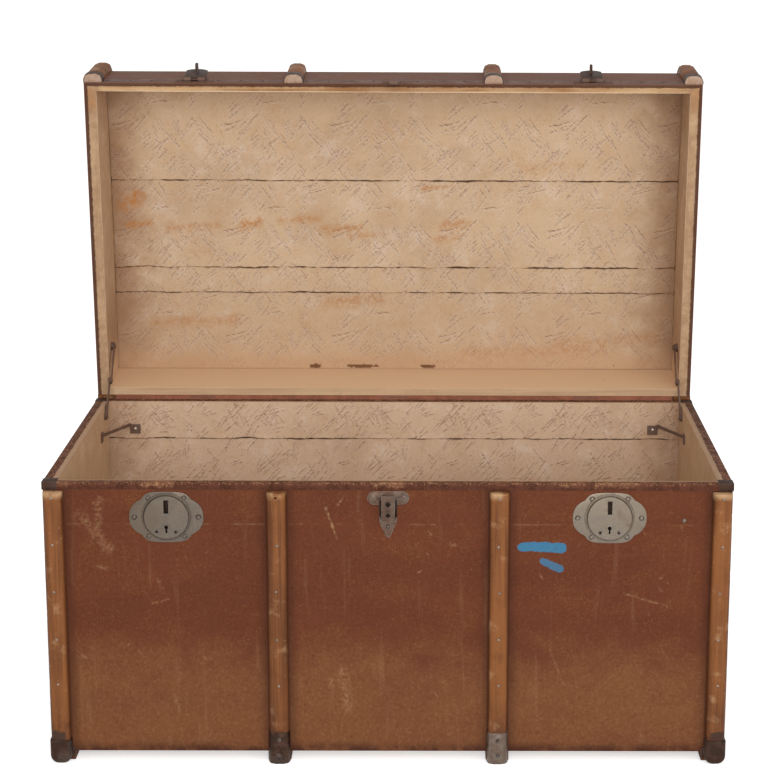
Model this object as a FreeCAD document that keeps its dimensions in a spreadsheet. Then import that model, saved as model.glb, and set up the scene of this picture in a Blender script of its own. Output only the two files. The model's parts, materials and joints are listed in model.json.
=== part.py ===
import FreeCAD, Part
import math
import os

import Sketcher
from FreeCAD import Placement, Rotation, Vector

# Dome top trunk, millimetres. Everything is drawn as the closed trunk stands: X across the
# front, Y from the front canvas (0) to the back, Z up from the floor. Each sub-part's
# Placement then moves it to the open trunk, with the origin under the middle of its box.

SIZES = {
    "trunk_width": (1000, "over the canvas, side to side"),
    "trunk_depth": (530, "over the canvas, front to back"),
    "chest_height": (413, "underside of the floor to the wooden rim"),
    "wall_board": (12, "front and back boards"),
    "end_board": (18, "end boards"),
    "floor_board": (12, "floor boards"),
    "board_gap": (0.4, "crack between two boards of one wall"),
    "front_joint": (215, "joint of the front boards, above the floor's underside"),
    "back_joint_drop": (64, "joint of the back boards, below the rim"),
    "floor_joint": (178, "width of the outer floor boards"),
    "canvas": (1, "canvas skin"),
    "paper": (0.8, "paper lining"),
    "tape": (0.8, "binding tape"),
    "tape_drop": (10, "tape down the outside of the chest rim"),
    "lid_tape_drop": (30, "tape up the outside of the lid rim"),
    "rim_clearance": (1.2, "air between the two rims, closed"),
    "lid_wall": (120, "lid rim to eave, over the canvas"),
    "lid_rise": (20, "eave to crown"),
    "lid_plank": (10, "top planks"),
    "eave_round": (9, "rounding of the eave, over the canvas"),
    "plank_joint_front": (187, "first joint of the top planks, from the front"),
    "plank_joint_middle": (339, "second joint"),
    "plank_joint_back": (383, "third joint"),
    "lid_open_angle": (85, "lid opening, from closed to held by the stays"),
    "batten_width": (29, "wooden battens"),
    "batten_thickness": (14, "how far a batten stands out"),
    "batten_round": (9, "rounding of a batten's two outer edges"),
    "batten_rim_gap": (12, "rim to the top of a chest batten"),
    "lid_batten_gap": (2, "lid rim to the end of a lid batten"),
    "runner_width": (34, "runners under the floor"),
    "runner_height": (14, "runners under the floor"),
    "toe_thickness": (1.2, "pressed steel toe caps"),
    "mid_toe_height": (49, "toe caps of the middle battens"),
    "corner_toe_height": (36, "toe caps of the corner battens"),
    "toe_tongue": (34, "toe cap under the runner"),
    "toe_ear": (13, "corner toe cap beside its batten"),
    "cap_thickness": (0.8, "sheet of the rim corner caps"),
    "cap_leg": (22, "rim corner cap along the rim"),
    "cap_drop": (11, "rim corner cap down the outside"),
    "batten_cap_height": (22, "steel caps on the lid battens"),
    "batten_cap_thickness": (1, "steel caps on the lid battens"),
    "hinge_spacing": (324, "between neighbouring hinges"),
    "hinge_width": (42, "hinge leaf across"),
    "hinge_leaf": (40, "hinge leaf, axis to end"),
    "hinge_sheet": (1.5, "hinge leaf"),
    "hinge_standoff": (4.5, "hinge axis behind the canvas"),
    "hinge_barrel": (4, "radius of the knuckles"),
    "hinge_pin": (2, "radius of the pin"),
    "pin_play": (0.05, "running clearance round every pin"),
    "knuckle_gap": (0.4, "between two knuckles"),
    "lock_drop": (51, "rim to the centre of a lock"),
    "lock_plate_width": (108, "nickel plate"),
    "lock_plate_height": (76, "nickel plate"),
    "plate_sheet": (1.5, "lock plate, catch and hasp sheet"),
    "lock_disc": (33.5, "radius of the raised disc"),
    "lock_disc_height": (3, "raised disc"),
    "disc_slope": (1.5, "how far the disc's edge slopes in"),
    "lock_slot_width": (6.6, "slot for the staple"),
    "lock_slot_height": (20, "slot for the staple"),
    "lock_slot_rise": (16, "slot centre above the lock's centre"),
    "keyhole": (2.8, "radius of the keyhole"),
    "keyhole_drop": (14.5, "keyhole below the lock's centre"),
    "keyhole_ring": (2.4, "width of the raised ring round the keyhole"),
    "keyhole_ring_rise": (0.8, "ring above the disc"),
    "keyhole_slit": (2.4, "width of the keyhole's slit"),
    "keyhole_slit_length": (9, "keyhole's centre to the end of its slit"),
    "lock_case_width": (60, "steel case behind the plate"),
    "lock_case_height": (54, "steel case behind the plate"),
    "lock_case_depth": (10.5, "steel case behind the plate"),
    "case_sheet": (1, "wall of the lock case"),
    "bolt_length": (20, "sliding bolt"),
    "bolt_height": (7, "sliding bolt"),
    "bolt_thickness": (3, "sliding bolt"),
    "bolt_setback": (2, "canvas face to the bolt"),
    "bolt_gap": (1, "drawn bolt to the slot, and bolt to the staple's window"),
    "rivet_head": (4, "radius of a rivet's head"),
    "rivet_rise": (1.8, "height of a rivet's head"),
    "hasp_width": (34.5, "hasp leaf across"),
    "hasp_length": (56, "hasp leaf, axis to end"),
    "hasp_sheet": (2, "hasp leaf"),
    "hasp_barrel": (3.5, "radius of the hasp's knuckles"),
    "hasp_pin": (1.6, "radius of the hasp's pin"),
    "hasp_rise": (7, "lid rim to the hasp's axis"),
    "hasp_face_gap": (0.7, "hanging leaf to the lock's disc"),
    "hasp_fold": (172, "hasp leaf, from hanging to folded back"),
    "hasp_end_round": (24, "radius of the leaf's free end"),
    "hasp_ear": (7.6, "radius of the base plate's round ears"),
    "hasp_base_height": (27, "hasp's base plate"),
    "hasp_base_rise": (3, "lid rim to the base plate"),
    "staple_width": (4, "staple across"),
    "staple_height": (14, "staple, up and down"),
    "staple_reach": (13, "staple out of the leaf"),
    "catch_width": (64, "catch base over its ears"),
    "catch_drop": (11.5, "rim to the top of the catch"),
    "catch_length": (71, "catch base, top to tip"),
    "catch_ear": (10, "radius of the catch base's round ears"),
    "lever_width": (19, "catch lever across"),
    "lever_length": (42, "catch lever, axis to hook"),
    "lever_lean": (14, "lever leaning out when unlatched"),
    "lever_standoff": (3.6, "base plate to the lever's axis"),
    "lever_hole": (2.6, "half the diagonal of the two diamond holes in the lever"),
    "hook_return": (3.2, "how far the lever's hook bends back"),
    "hook_gap": (1.6, "lever's hook to the keeper's lip, latched"),
    "catch_pin": (1.5, "radius of the lever's pin"),
    "keeper_width": (40, "keeper plate on the lid"),
    "keeper_height": (14, "keeper plate on the lid"),
    "keeper_rise": (2, "lid rim to the keeper plate"),
    "keeper_nose": (14, "width of the keeper's nose"),
    "stay_arm_width": (12, "lid stay arms"),
    "stay_sheet": (2, "lid stay arms"),
    "stay_wall_gap": (2, "lining to the lower arm"),
    "stay_play": (0.4, "between the two arms"),
    "stay_lid_reach": (80, "hinge axis to the lid pivot, along the rim"),
    "stay_lid_rise": (38, "hinge axis to the lid pivot, away from the rim"),
    "stay_chest_reach": (64.5, "hinge axis to the chest pivot, along the rim"),
    "stay_chest_drop": (16, "hinge axis to the chest pivot, down"),
    "stay_pivot": (2.5, "radius of the pivot rivets"),
    "stay_washer": (7, "radius of the pivot washers"),
    "stay_head_rise": (1.2, "height of a stay rivet's head"),
    "bracket_height": (16, "tray brackets in the chest's corners"),
    "bracket_sheet": (2, "tray brackets"),
    "bracket_drop": (40, "rim to the top of a tray bracket"),
    "bracket_side": (85, "corner to the bracket's end on the end wall"),
    "bracket_leg": (18, "length of a bracket's two legs"),
    "bracket_reach": (35, "corner to the bracket's leg on the long wall"),
    "handle_height": (270, "floor to the handle's axis"),
    "handle_span": (112, "between the bail's two pins"),
    "handle_drop": (50, "axis to the bail's grip"),
    "handle_rod": (4, "radius of the bail's rod"),
    "handle_bend": (15, "centre line radius of the bail's corners"),
    "handle_axis_gap": (8, "plate to the bail's axis"),
    "handle_sheet": (2, "handle plate"),
    "handle_plate_height": (60, "handle plate"),
    "handle_plate_margin": (19, "handle plate beyond the bail's pins"),
    "handle_plate_drop": (42, "bail's axis to the plate's lower edge"),
    "handle_plate_bevel": (10, "cut corners of the handle plate"),
    "lug_width": (8, "pierced lugs of the handle plate"),
    "lug_wall": (3, "lug round the bail's rod"),
}


class Size:
    """A number together with the sheet formula that it comes from."""

    def __init__(self, value, formula):
        self.value = value
        self.formula = formula

    def __add__(self, other):
        return joined(self, "+", other, lambda a, b: a + b)

    def __radd__(self, other):
        return joined(other, "+", self, lambda a, b: a + b)

    def __sub__(self, other):
        return joined(self, "-", other, lambda a, b: a - b)

    def __rsub__(self, other):
        return joined(other, "-", self, lambda a, b: a - b)

    def __mul__(self, other):
        return joined(self, "*", other, lambda a, b: a * b)

    def __rmul__(self, other):
        return joined(other, "*", self, lambda a, b: a * b)

    def __truediv__(self, other):
        return joined(self, "/", other, lambda a, b: a / b)

    def __neg__(self):
        return joined(0, "-", self, lambda a, b: a - b)


def sized(thing):
    """A plain number as a Size; a Size as it is."""
    if isinstance(thing, Size):
        return thing
    return Size(float(thing), f"({float(thing)})")


def joined(left, sign, right, work):
    left, right = sized(left), sized(right)
    return Size(work(left.value, right.value), f"({left.formula} {sign} {right.formula})")


def root(size):
    return Size(math.sqrt(size.value), f"sqrt({size.formula})")


def cosine(angle):
    return Size(math.cos(math.radians(angle.value)), f"cos({angle.formula} * 1 deg)")


def sine(angle):
    return Size(math.sin(math.radians(angle.value)), f"sin({angle.formula} * 1 deg)")


class Sheet:
    """The driving sizes, each read back from the spreadsheet as a Size."""

    def __init__(self, document):
        sheet = document.addObject("Spreadsheet::Sheet", "Sizes")
        for row, (name, (value, note)) in enumerate(SIZES.items(), start=1):
            sheet.set(f"A{row}", name)
            sheet.set(f"B{row}", str(value))
            sheet.setAlias(f"B{row}", name)
            sheet.set(f"C{row}", note)
        document.recompute()
        for name in SIZES:
            setattr(self, name, Size(float(sheet.get(name)), f"Sizes.{name}"))


document = FreeCAD.newDocument("DomeTopTrunk")
dim = Sheet(document)
sub_parts = []


def bind(thing, prop, size):
    """Tie a property to its formula in the sheet."""
    thing.setExpression(prop, sized(size).formula)


class Pose:
    """A turn about a line along X with the shift that it takes, all held as sizes."""

    def __init__(self, angle, y, z):
        self.angle = sized(angle)
        self.y = sized(y)
        self.z = sized(z)

    def point(self, y, z):
        """Where the pose takes a point of the closed trunk."""
        c, s = cosine(self.angle), sine(self.angle)
        return self.y + c * y - s * z, self.z + s * y + c * z

    def after(self, first):
        """This pose applied to something already in the first pose."""
        y, z = self.point(first.y, first.z)
        return Pose(self.angle + first.angle, y, z)


def turned(angle, y, z):
    """A turn by an angle about the line along X through y, z."""
    still = Pose(angle, 0, 0)
    moved_y, moved_z = still.point(y, z)
    return Pose(angle, y - moved_y, z - moved_z)


def sub_part(label, shapes, pose):
    """Gather one sub-part's solids under its own label and placement."""
    group = document.addObject("Part::Compound", label)
    group.Label = label
    group.Links = shapes
    group.Placement = Placement(Vector(), Rotation(Vector(1, 0, 0), pose.angle.value or 360))
    bind(group, "Placement.Rotation.Angle", pose.angle)
    bind(group, "Placement.Base.y", pose.y)
    bind(group, "Placement.Base.z", pose.z)
    sub_parts.append(group)


def box(low, high, name="Block"):
    """A block between its lowest and its highest corner."""
    block = document.addObject("Part::Box", name)
    for prop, near, far in zip(("Length", "Width", "Height"), low, high):
        bind(block, prop, sized(far) - near)
    for axis, near in zip("xyz", low):
        bind(block, f"Placement.Base.{axis}", near)
    return block


BAR_SIDES = 12
DISC_SIDES = 48
TURNS = {"x": Rotation(Vector(0, 1, 0), 90), "y": Rotation(Vector(1, 0, 0), -90), "z": Rotation()}


def round_bar(axis, start, radius, length):
    """A cylinder that runs along an axis."""
    bar = document.addObject("Part::Cylinder", "RoundBar")
    bar.Placement = Placement(Vector(), TURNS[axis])
    bind(bar, "Radius", radius)
    bind(bar, "Height", length)
    for letter, near in zip("xyz", start):
        bind(bar, f"Placement.Base.{letter}", near)
    return bar


def faceted_bar(axis, start, radius, length, sides=BAR_SIDES):
    """A head, washer or knuckle of small hardware: a many-sided prism along an axis."""
    bar = document.addObject("Part::Prism", "FacetedBar")
    bar.Polygon = sides
    bar.Placement = Placement(Vector(), TURNS[axis])
    bind(bar, "Circumradius", radius)
    bind(bar, "Height", length)
    for letter, near in zip("xyz", start):
        bind(bar, f"Placement.Base.{letter}", near)
    return bar


def sloped_disc(axis, start, radius, length, end_radius):
    """A raised disc with a sloping edge: a loft between two many-sided outlines."""
    ends = []
    for reach, size in ((0, radius), (length, end_radius)):
        end = document.addObject("Part::RegularPolygon", "DiscOutline")
        end.Polygon = DISC_SIDES
        end.Placement = Placement(Vector(), TURNS[axis])
        bind(end, "Circumradius", size)
        for letter, near in zip("xyz", start):
            bind(end, f"Placement.Base.{letter}", near + reach if letter == axis else near)
        ends.append(end)
    disc = document.addObject("Part::Loft", "SlopedDisc")
    disc.Sections = ends
    disc.Solid = True
    disc.Ruled = True
    return disc


def fuse(shapes, name="Joined"):
    whole = document.addObject("Part::MultiFuse", name)
    whole.Shapes = shapes
    return whole


def cut(base, tools, name="Cut"):
    """The base without the tools."""
    piece = document.addObject("Part::Cut", name)
    piece.Base = base
    piece.Tool = tools[0] if len(tools) == 1 else fuse(tools, name + "Tools")
    return piece


def arc_between(start, end, radius):
    """The shorter arc of two points, drawn anticlockwise; bulging right of the way if forward."""
    forward = radius > 0
    chord = end - start
    half = chord.Length / 2
    left = Vector(-chord.y, chord.x, 0).normalize()
    reach = math.sqrt(max(radius * radius - half * half, 0))
    centre = (start + end) / 2 + left * (reach if forward else -reach)
    first, last = (start, end) if forward else (end, start)
    angles = [math.atan2(point.y - centre.y, point.x - centre.x) for point in (first, last)]
    circle = Part.Circle(centre, Vector(0, 0, 1), abs(radius))
    return Part.ArcOfCircle(circle, angles[0], angles[1])


def draw(sketch, corners):
    """A closed outline. A corner is (across, up) or (across, up, radius of the arc after it)."""
    points = [Vector(sized(c[0]).value, sized(c[1]).value, 0) for c in corners]
    ends = []
    for number, corner in enumerate(corners):
        start, end = points[number], points[(number + 1) % len(points)]
        if len(corner) == 2:
            edge = sketch.addGeometry(Part.LineSegment(start, end))
            ends.append((edge, 1, 2))
            continue
        radius = sized(corner[2])
        edge = sketch.addGeometry(arc_between(start, end, radius.value))
        ends.append((edge, 1, 2) if radius.value > 0 else (edge, 2, 1))
        size = radius if radius.value > 0 else -radius
        held = sketch.addConstraint(Sketcher.Constraint("Radius", edge, size.value))
        bind(sketch, f"Constraints[{held}]", size)
    for number, corner in enumerate(corners):
        edge, first, last = ends[number]
        following = ends[(number + 1) % len(ends)]
        sketch.addConstraint(Sketcher.Constraint("Coincident", edge, last, following[0], following[1]))
        for kind, place in zip(("DistanceX", "DistanceY"), corner[:2]):
            place = sized(place)
            held = sketch.addConstraint(Sketcher.Constraint(kind, -1, 1, edge, first, place.value))
            bind(sketch, f"Constraints[{held}]", place)


def sketch_on(body, plane, corners, offset=0, name="Outline"):
    """A sketch of one outline on one of the body's own origin planes."""
    sketch = body.newObject("Sketcher::SketchObject", name)
    base = [plane_object for plane_object in body.Origin.OriginFeatures if plane_object.Role == plane]
    sketch.AttachmentSupport = [(base[0], "")]
    sketch.MapMode = "FlatFace"
    bind(sketch, "AttachmentOffset.Base.z", offset)
    draw(sketch, corners)
    return sketch


def padded(name, plane, corners, offset, length):
    """A body padded from one outline; XZ_Plane pads towards the front, -Y."""
    body = document.addObject("PartDesign::Body", name)
    pad = body.newObject("PartDesign::Pad", name + "Pad")
    pad.Profile = sketch_on(body, plane, corners, offset)
    bind(pad, "Length", length)
    body.Tip = pad
    return body


LOCK_SHARE = 0.322  # of the trunk's width, from its middle to a lock

# Levels and faces that many pieces share.
half_width = dim.trunk_width / 2
floor_level = dim.toe_thickness + dim.runner_height
rim_level = floor_level + dim.chest_height
tape_level = rim_level + dim.tape
lid_level = tape_level + dim.rim_clearance
eave_level = lid_level + dim.lid_wall
crown_level = eave_level + dim.lid_rise
end_out = half_width - dim.canvas
end_in = end_out - dim.end_board
end_clear = end_in - dim.paper
front_in = dim.canvas + dim.wall_board
front_clear = front_in + dim.paper
back_out = dim.trunk_depth - dim.canvas
back_in = back_out - dim.wall_board
back_clear = back_in - dim.paper
mid_depth = dim.trunk_depth / 2
outer_batten = half_width - dim.batten_width / 2
batten_places = [-outer_batten, outer_batten / -3, outer_batten / 3, outer_batten]
outer_runner = half_width - dim.runner_width / 2
runner_places = [-outer_runner, outer_batten / -3, outer_batten / 3, outer_runner]
hinge_y = dim.trunk_depth + dim.hinge_standoff
hinge_z = rim_level + (dim.tape + dim.rim_clearance) / 2
hinge_places = [-dim.hinge_spacing, sized(0), dim.hinge_spacing]
lock_places = {"left": dim.trunk_width * -LOCK_SHARE, "right": dim.trunk_width * LOCK_SHARE}
lock_z = rim_level - dim.lock_drop
slot_z = lock_z + dim.lock_slot_rise
OVERCUT = 5
EAR_CENTRE = 0.9  # a round ear's centre stands this share of its radius outside its plate
EAR_BEND = 1.02  # radius of an ear's arc, a little over half the ear's height

# The open lid's crown reaches this far behind the hinge: the box of the open trunk is
# centred on the origin.
lid_reach = dim.hinge_standoff + dim.lid_wall + dim.lid_rise / 2 + dim.batten_thickness
chest_pose = Pose(0, (dim.batten_thickness - dim.trunk_depth - lid_reach) / 2, 0)
lid_pose = chest_pose.after(turned(-dim.lid_open_angle, hinge_y, hinge_z))


# ---- the chest: boards, skins and rim -------------------------------------------------

def wall_boards(label, near, far, joint, mortises=()):
    """The two boards of a long wall, one above the other."""
    lower = box((-end_out, near, floor_level), (end_out, far, joint - dim.board_gap / 2))
    upper = box((-end_out, near, joint + dim.board_gap / 2), (end_out, far, rim_level))
    if mortises:
        upper = cut(upper, mortises)
    sub_part(label, [lower, upper], chest_pose)


def lock_mortise(place):
    """Room for one lock case in the front boards and the canvas."""
    half_case = dim.lock_case_width / 2
    low = lock_z - dim.lock_case_height / 2
    return box(
        (place - half_case, -OVERCUT, low),
        (place + half_case, dim.lock_case_depth, low + dim.lock_case_height),
    )


mortises = [lock_mortise(place) for place in lock_places.values()]
wall_boards("chest_front_boards", dim.canvas, front_in, floor_level + dim.front_joint, mortises)
wall_boards("chest_back_boards", back_in, back_out, rim_level - dim.back_joint_drop)
for side, near, far in (("left", -end_out, -end_in), ("right", end_in, end_out)):
    board = box((near, front_in, floor_level), (far, back_in, rim_level))
    sub_part(f"chest_{side}_end_board", [board], chest_pose)

floor_top = floor_level + dim.floor_board
floor_edges = [
    front_in,
    front_in + dim.floor_joint,
    back_in - dim.floor_joint,
    back_in,
]
floor_boards = []
for number in range(3):
    near = floor_edges[number] + (dim.board_gap if number else 0)
    floor_boards.append(
        box((-end_in, near, floor_level), (end_in, floor_edges[number + 1], floor_top))
    )
sub_part("chest_floor_boards", floor_boards, chest_pose)

canvas_outer = box((-half_width, 0, floor_level), (half_width, dim.trunk_depth, rim_level))
canvas_room = box(
    (-end_out, dim.canvas, floor_level - OVERCUT), (end_out, back_out, rim_level + OVERCUT)
)
sub_part("chest_canvas", [cut(canvas_outer, [canvas_room] + mortises)], chest_pose)

lining_outer = box((-end_in, front_in, floor_top), (end_in, back_in, rim_level))
lining_room = box(
    (-end_clear, front_clear, floor_top + dim.paper), (end_clear, back_clear, rim_level + OVERCUT)
)
sub_part("chest_lining", [cut(lining_outer, [lining_room])], chest_pose)


def band(low, high, inner_low, inner_high):
    """A band of tape round the outside of the trunk between two levels."""
    side, far = half_width + dim.tape, dim.trunk_depth + dim.tape
    outer = box((-side, -dim.tape, low), (side, far, high))
    inner = box((-half_width, 0, inner_low), (half_width, dim.trunk_depth, inner_high))
    return outer, inner


def notch(place, width, low, high, at_back):
    """A gap in a band of tape, for hardware that sits on the canvas."""
    near, far = (mid_depth, dim.trunk_depth + OVERCUT) if at_back else (-OVERCUT, mid_depth)
    return box((place - width / 2, near, low), (place + width / 2, far, high))


tape_outer, tape_inner = band(
    rim_level - dim.tape_drop, tape_level, rim_level - dim.tape_drop - OVERCUT, rim_level
)
rim_room = box(
    (-end_clear, front_clear, rim_level - OVERCUT), (end_clear, back_clear, tape_level + OVERCUT)
)
notch_low, notch_high = rim_level - dim.tape_drop - OVERCUT, tape_level + OVERCUT
hinge_notches = [
    box(
        (place - dim.hinge_width / 2, dim.trunk_depth, notch_low),
        (place + dim.hinge_width / 2, dim.trunk_depth + OVERCUT, notch_high),
    )
    for place in hinge_places
]
sub_part("chest_rim_tape", [cut(tape_outer, [tape_inner, rim_room] + hinge_notches)], chest_pose)


def rim_corner_cap(side, at_back):
    """A thin steel cap over one corner of the chest rim."""
    reach = half_width + dim.tape + dim.cap_thickness
    outer_x = (reach - dim.cap_leg, reach) if side > 0 else (-reach, dim.cap_leg - reach)
    shell = dim.tape + dim.cap_thickness
    front_y = (-shell, dim.cap_leg - shell)
    back_y = (dim.trunk_depth + shell - dim.cap_leg, dim.trunk_depth + shell)
    near, far = back_y if at_back else front_y
    outer = box(
        (outer_x[0], near, tape_level - dim.cap_drop), (outer_x[1], far, tape_level + dim.cap_thickness)
    )
    inner = box(
        (-half_width - dim.tape, -dim.tape, tape_level - dim.cap_drop - OVERCUT),
        (half_width + dim.tape, dim.trunk_depth + dim.tape, tape_level),
    )
    room = box((-end_clear, front_clear, rim_level), (end_clear, back_clear, tape_level + OVERCUT))
    return cut(outer, [inner, room])


corner_caps = [rim_corner_cap(side, at_back) for side in (-1, 1) for at_back in (False, True)]
sub_part("rim_corner_caps", corner_caps, chest_pose)


# ---- battens, runners and toe caps ----------------------------------------------------

EDGE_FACETS = 2  # flats that a batten's rounded edge is planed in


def batten_section(place, face, out, grow=0):
    """A batten's section on the XY plane: flat on the canvas, both outer edges planed round."""
    side = dim.batten_width / 2 + grow
    top = dim.batten_thickness + grow
    bend = dim.batten_round + grow
    left, right = [], []
    for number in range(EDGE_FACETS + 1):
        turn = math.radians(90 * number / EDGE_FACETS)
        across = side - bend + bend * math.cos(turn)
        up = face + out * (top - bend + bend * math.sin(turn))
        left.append((place - across, up))
        right.insert(0, (place + across, up))
    return [(place - side, face)] + left + right + [(place + side, face)]


batten_top = rim_level - dim.batten_rim_gap
batten_names = ["left", "middle_left", "middle_right", "right"]
faces = {"front": (sized(0), -1), "back": (dim.trunk_depth, 1)}


def straight_batten(place, wall):
    face, out = faces[wall]
    section = batten_section(place, face, out)
    length = batten_top - dim.toe_thickness
    return padded("Batten", "XY_Plane", section, dim.toe_thickness, length)


for name, place in zip(batten_names, batten_places):
    sub_part(f"front_batten_{name}", [straight_batten(place, "front")], chest_pose)
sub_part("back_battens", [straight_batten(place, "back") for place in batten_places], chest_pose)


def runner(place):
    """A skid under the floor, from the front battens to the back ones."""
    side = dim.runner_width / 2
    low, high = (place - side, 0, dim.toe_thickness), (place + side, dim.trunk_depth, floor_level)
    return box(low, high)


sub_part("bottom_runners", [runner(place) for place in runner_places], chest_pose)


def toe_cap(place, wall, height):
    """A pressed steel cup round a batten's foot, with a tongue under the runner."""
    face, out = faces[wall]
    cup = padded("Cup", "XY_Plane", batten_section(place, face, out, dim.toe_thickness), 0, height)
    foot = batten_section(place, face, out)
    foot = padded("Foot", "XY_Plane", foot, dim.toe_thickness, height)
    side = dim.batten_width / 2 + dim.toe_thickness
    near, far = (face, face + dim.toe_tongue) if out < 0 else (face - dim.toe_tongue, face)
    tongue = box((place - side, near, 0), (place + side, far, dim.toe_thickness))
    return cut(fuse([cup, tongue]), [foot])


def corner_toe_cap(place, wall):
    """The toe cap of a corner batten, which also wraps the bottom corner of the trunk."""
    face, out = faces[wall]
    right = place.value > 0
    inner = place - dim.batten_width / 2 if right else place + dim.batten_width / 2
    ear_x = (inner - dim.toe_ear, inner) if right else (inner, inner + dim.toe_ear)
    wrap_x = (half_width, half_width + dim.toe_thickness)
    if not right:
        wrap_x = (-half_width - dim.toe_thickness, -half_width)
    ear_y = (face - dim.toe_thickness, face) if out < 0 else (face, face + dim.toe_thickness)
    wrap_y = (face, face + dim.toe_tongue) if out < 0 else (face - dim.toe_tongue, face)
    top = floor_level + dim.toe_ear
    ear = box((ear_x[0], ear_y[0], dim.toe_thickness), (ear_x[1], ear_y[1], top))
    wrap = box((wrap_x[0], wrap_y[0], 0), (wrap_x[1], wrap_y[1], top))
    return fuse([toe_cap(place, wall, dim.corner_toe_height), ear, wrap])


walls = ("front", "back")
middle_toes = [toe_cap(p, w, dim.mid_toe_height) for p in batten_places[1:3] for w in walls]
sub_part("middle_toe_caps", middle_toes, chest_pose)
corner_toes = [corner_toe_cap(p, w) for p in (batten_places[0], batten_places[3]) for w in walls]
sub_part("corner_toe_caps", corner_toes, chest_pose)


# ---- the lid: arched section, boards, skins and battens ---------------------------------

arch_radius = mid_depth * mid_depth / (2 * dim.lid_rise) + dim.lid_rise / 2
arch_z = crown_level - arch_radius


def arch_height(y, inset):
    """Level of the arch that lies inset below the canvas, at y."""
    radius = arch_radius - inset
    return arch_z + root(radius * radius - (mid_depth - y) * (mid_depth - y))


def hood(outset, bottom):
    """The lid's outer section on the YZ plane, moved out by outset, with rounded eaves."""
    radius = arch_radius + outset
    bend = dim.eave_round + outset
    centre_y = dim.eave_round
    reach = arch_radius - dim.eave_round
    centre_z = arch_z + root(reach * reach - (mid_depth - centre_y) * (mid_depth - centre_y))
    ratio = radius / reach
    meet_y = mid_depth - (mid_depth - centre_y) * ratio
    meet_z = arch_z + (centre_z - arch_z) * ratio
    far = dim.trunk_depth + outset
    return [
        (-outset, bottom),
        (far, bottom),
        (far, centre_z, bend),
        (dim.trunk_depth - meet_y, meet_z, radius),
        (meet_y, meet_z, bend),
        (-outset, centre_z),
    ]


plank_under = dim.canvas + dim.lid_plank
for label, near, far in (
    ("lid_front_board", dim.canvas, front_in),
    ("lid_back_board", back_in, back_out),
):
    section = [
        (near, lid_level),
        (far, lid_level),
        (far, arch_height(far, plank_under)),
        (near, arch_height(near, plank_under)),
    ]
    board = padded("LidBoard", "YZ_Plane", section, -end_out, end_out * 2)
    sub_part(label, [board], lid_pose)

end_section = [
    (front_in, lid_level),
    (back_in, lid_level),
    (back_in, arch_height(back_in, plank_under), arch_radius - plank_under),
    (front_in, arch_height(front_in, plank_under)),
]
for side, near in (("left", -end_out), ("right", end_in)):
    board = padded("LidEnd", "YZ_Plane", end_section, near, dim.end_board)
    sub_part(f"lid_{side}_end_board", [board], lid_pose)


def lid_solid(corners, half_length):
    return padded("LidSolid", "YZ_Plane", corners, -half_length, half_length * 2)


plank_joints = [dim.plank_joint_front, dim.plank_joint_middle, dim.plank_joint_back]
plank_edges = [dim.canvas] + plank_joints + [back_out]
planks = []
for number in range(len(plank_edges) - 1):
    near = plank_edges[number] + (dim.board_gap if number else 0)
    far = plank_edges[number + 1]
    low = eave_level - plank_under - dim.lid_plank
    slab = box((-end_out, near, low), (end_out, far, crown_level))
    skin_room = lid_solid(hood(-dim.canvas, lid_level), end_out)
    held = document.addObject("Part::MultiCommon", "PlankBlank")
    held.Shapes = [slab, skin_room]
    under = [
        (0, lid_level),
        (dim.trunk_depth, lid_level),
        (dim.trunk_depth, arch_height(dim.trunk_depth, plank_under), arch_radius - plank_under),
        (0, arch_height(sized(0), plank_under)),
    ]
    planks.append(cut(held, [lid_solid(under, end_out)]))
sub_part("lid_top_planks", planks, lid_pose)

canvas_shell = lid_solid(hood(sized(0), lid_level), half_width)
canvas_core = lid_solid(hood(-dim.canvas, lid_level - OVERCUT), end_out)
sub_part("lid_canvas", [cut(canvas_shell, [canvas_core])], lid_pose)

paper_under = plank_under + dim.paper
paper_section = [
    (front_in, lid_level),
    (back_in, lid_level),
    (back_in, arch_height(back_in, plank_under), arch_radius - plank_under),
    (front_in, arch_height(front_in, plank_under)),
]
room_section = [
    (front_clear, lid_level - OVERCUT),
    (back_clear, lid_level - OVERCUT),
    (back_clear, arch_height(back_clear, paper_under), arch_radius - paper_under),
    (front_clear, arch_height(front_clear, paper_under)),
]
paper_room = lid_solid(room_section, end_clear)
sub_part("lid_lining", [cut(lid_solid(paper_section, end_in), [paper_room])], lid_pose)

tape_top = lid_level + dim.lid_tape_drop
lid_tape_outer, lid_tape_inner = band(lid_level, tape_top, lid_level - OVERCUT, tape_top + OVERCUT)
low, high = lid_level - OVERCUT, tape_top + OVERCUT
cap_width = dim.batten_width + 2 * dim.batten_cap_thickness
tape_notches = [notch(p, cap_width, low, high, b) for p in batten_places for b in (True, False)]
tape_notches += [notch(p, dim.hinge_width, low, high, True) for p in hinge_places]
hasp_base_width = dim.hasp_width + 2 * dim.hasp_ear * (1 + EAR_CENTRE)
tape_notches += [notch(p, hasp_base_width, low, high, False) for p in lock_places.values()]
tape_notches.append(notch(sized(0), dim.keeper_width, low, high, False))
sub_part("lid_rim_tape", [cut(lid_tape_outer, [lid_tape_inner] + tape_notches)], lid_pose)


def bent_batten(place):
    """A batten bent over the lid: its section swept up the front, over the crown and down."""
    body = document.addObject("PartDesign::Body", "BentBatten")
    start = lid_level + dim.lid_batten_gap
    section = sketch_on(body, "XY_Plane", batten_section(place, sized(0), -1), start, "Section")
    path = body.newObject("Sketcher::SketchObject", "Path")
    base = [plane for plane in body.Origin.OriginFeatures if plane.Role == "YZ_Plane"]
    path.AttachmentSupport = [(base[0], "")]
    path.MapMode = "FlatFace"
    bind(path, "AttachmentOffset.Base.z", place)
    draw(path, hood(sized(0), start))
    path.delGeometry(0)
    sweep = body.newObject("PartDesign::AdditivePipe", "Sweep")
    sweep.Profile = section
    sweep.Spine = path
    body.Tip = sweep
    return body


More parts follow.
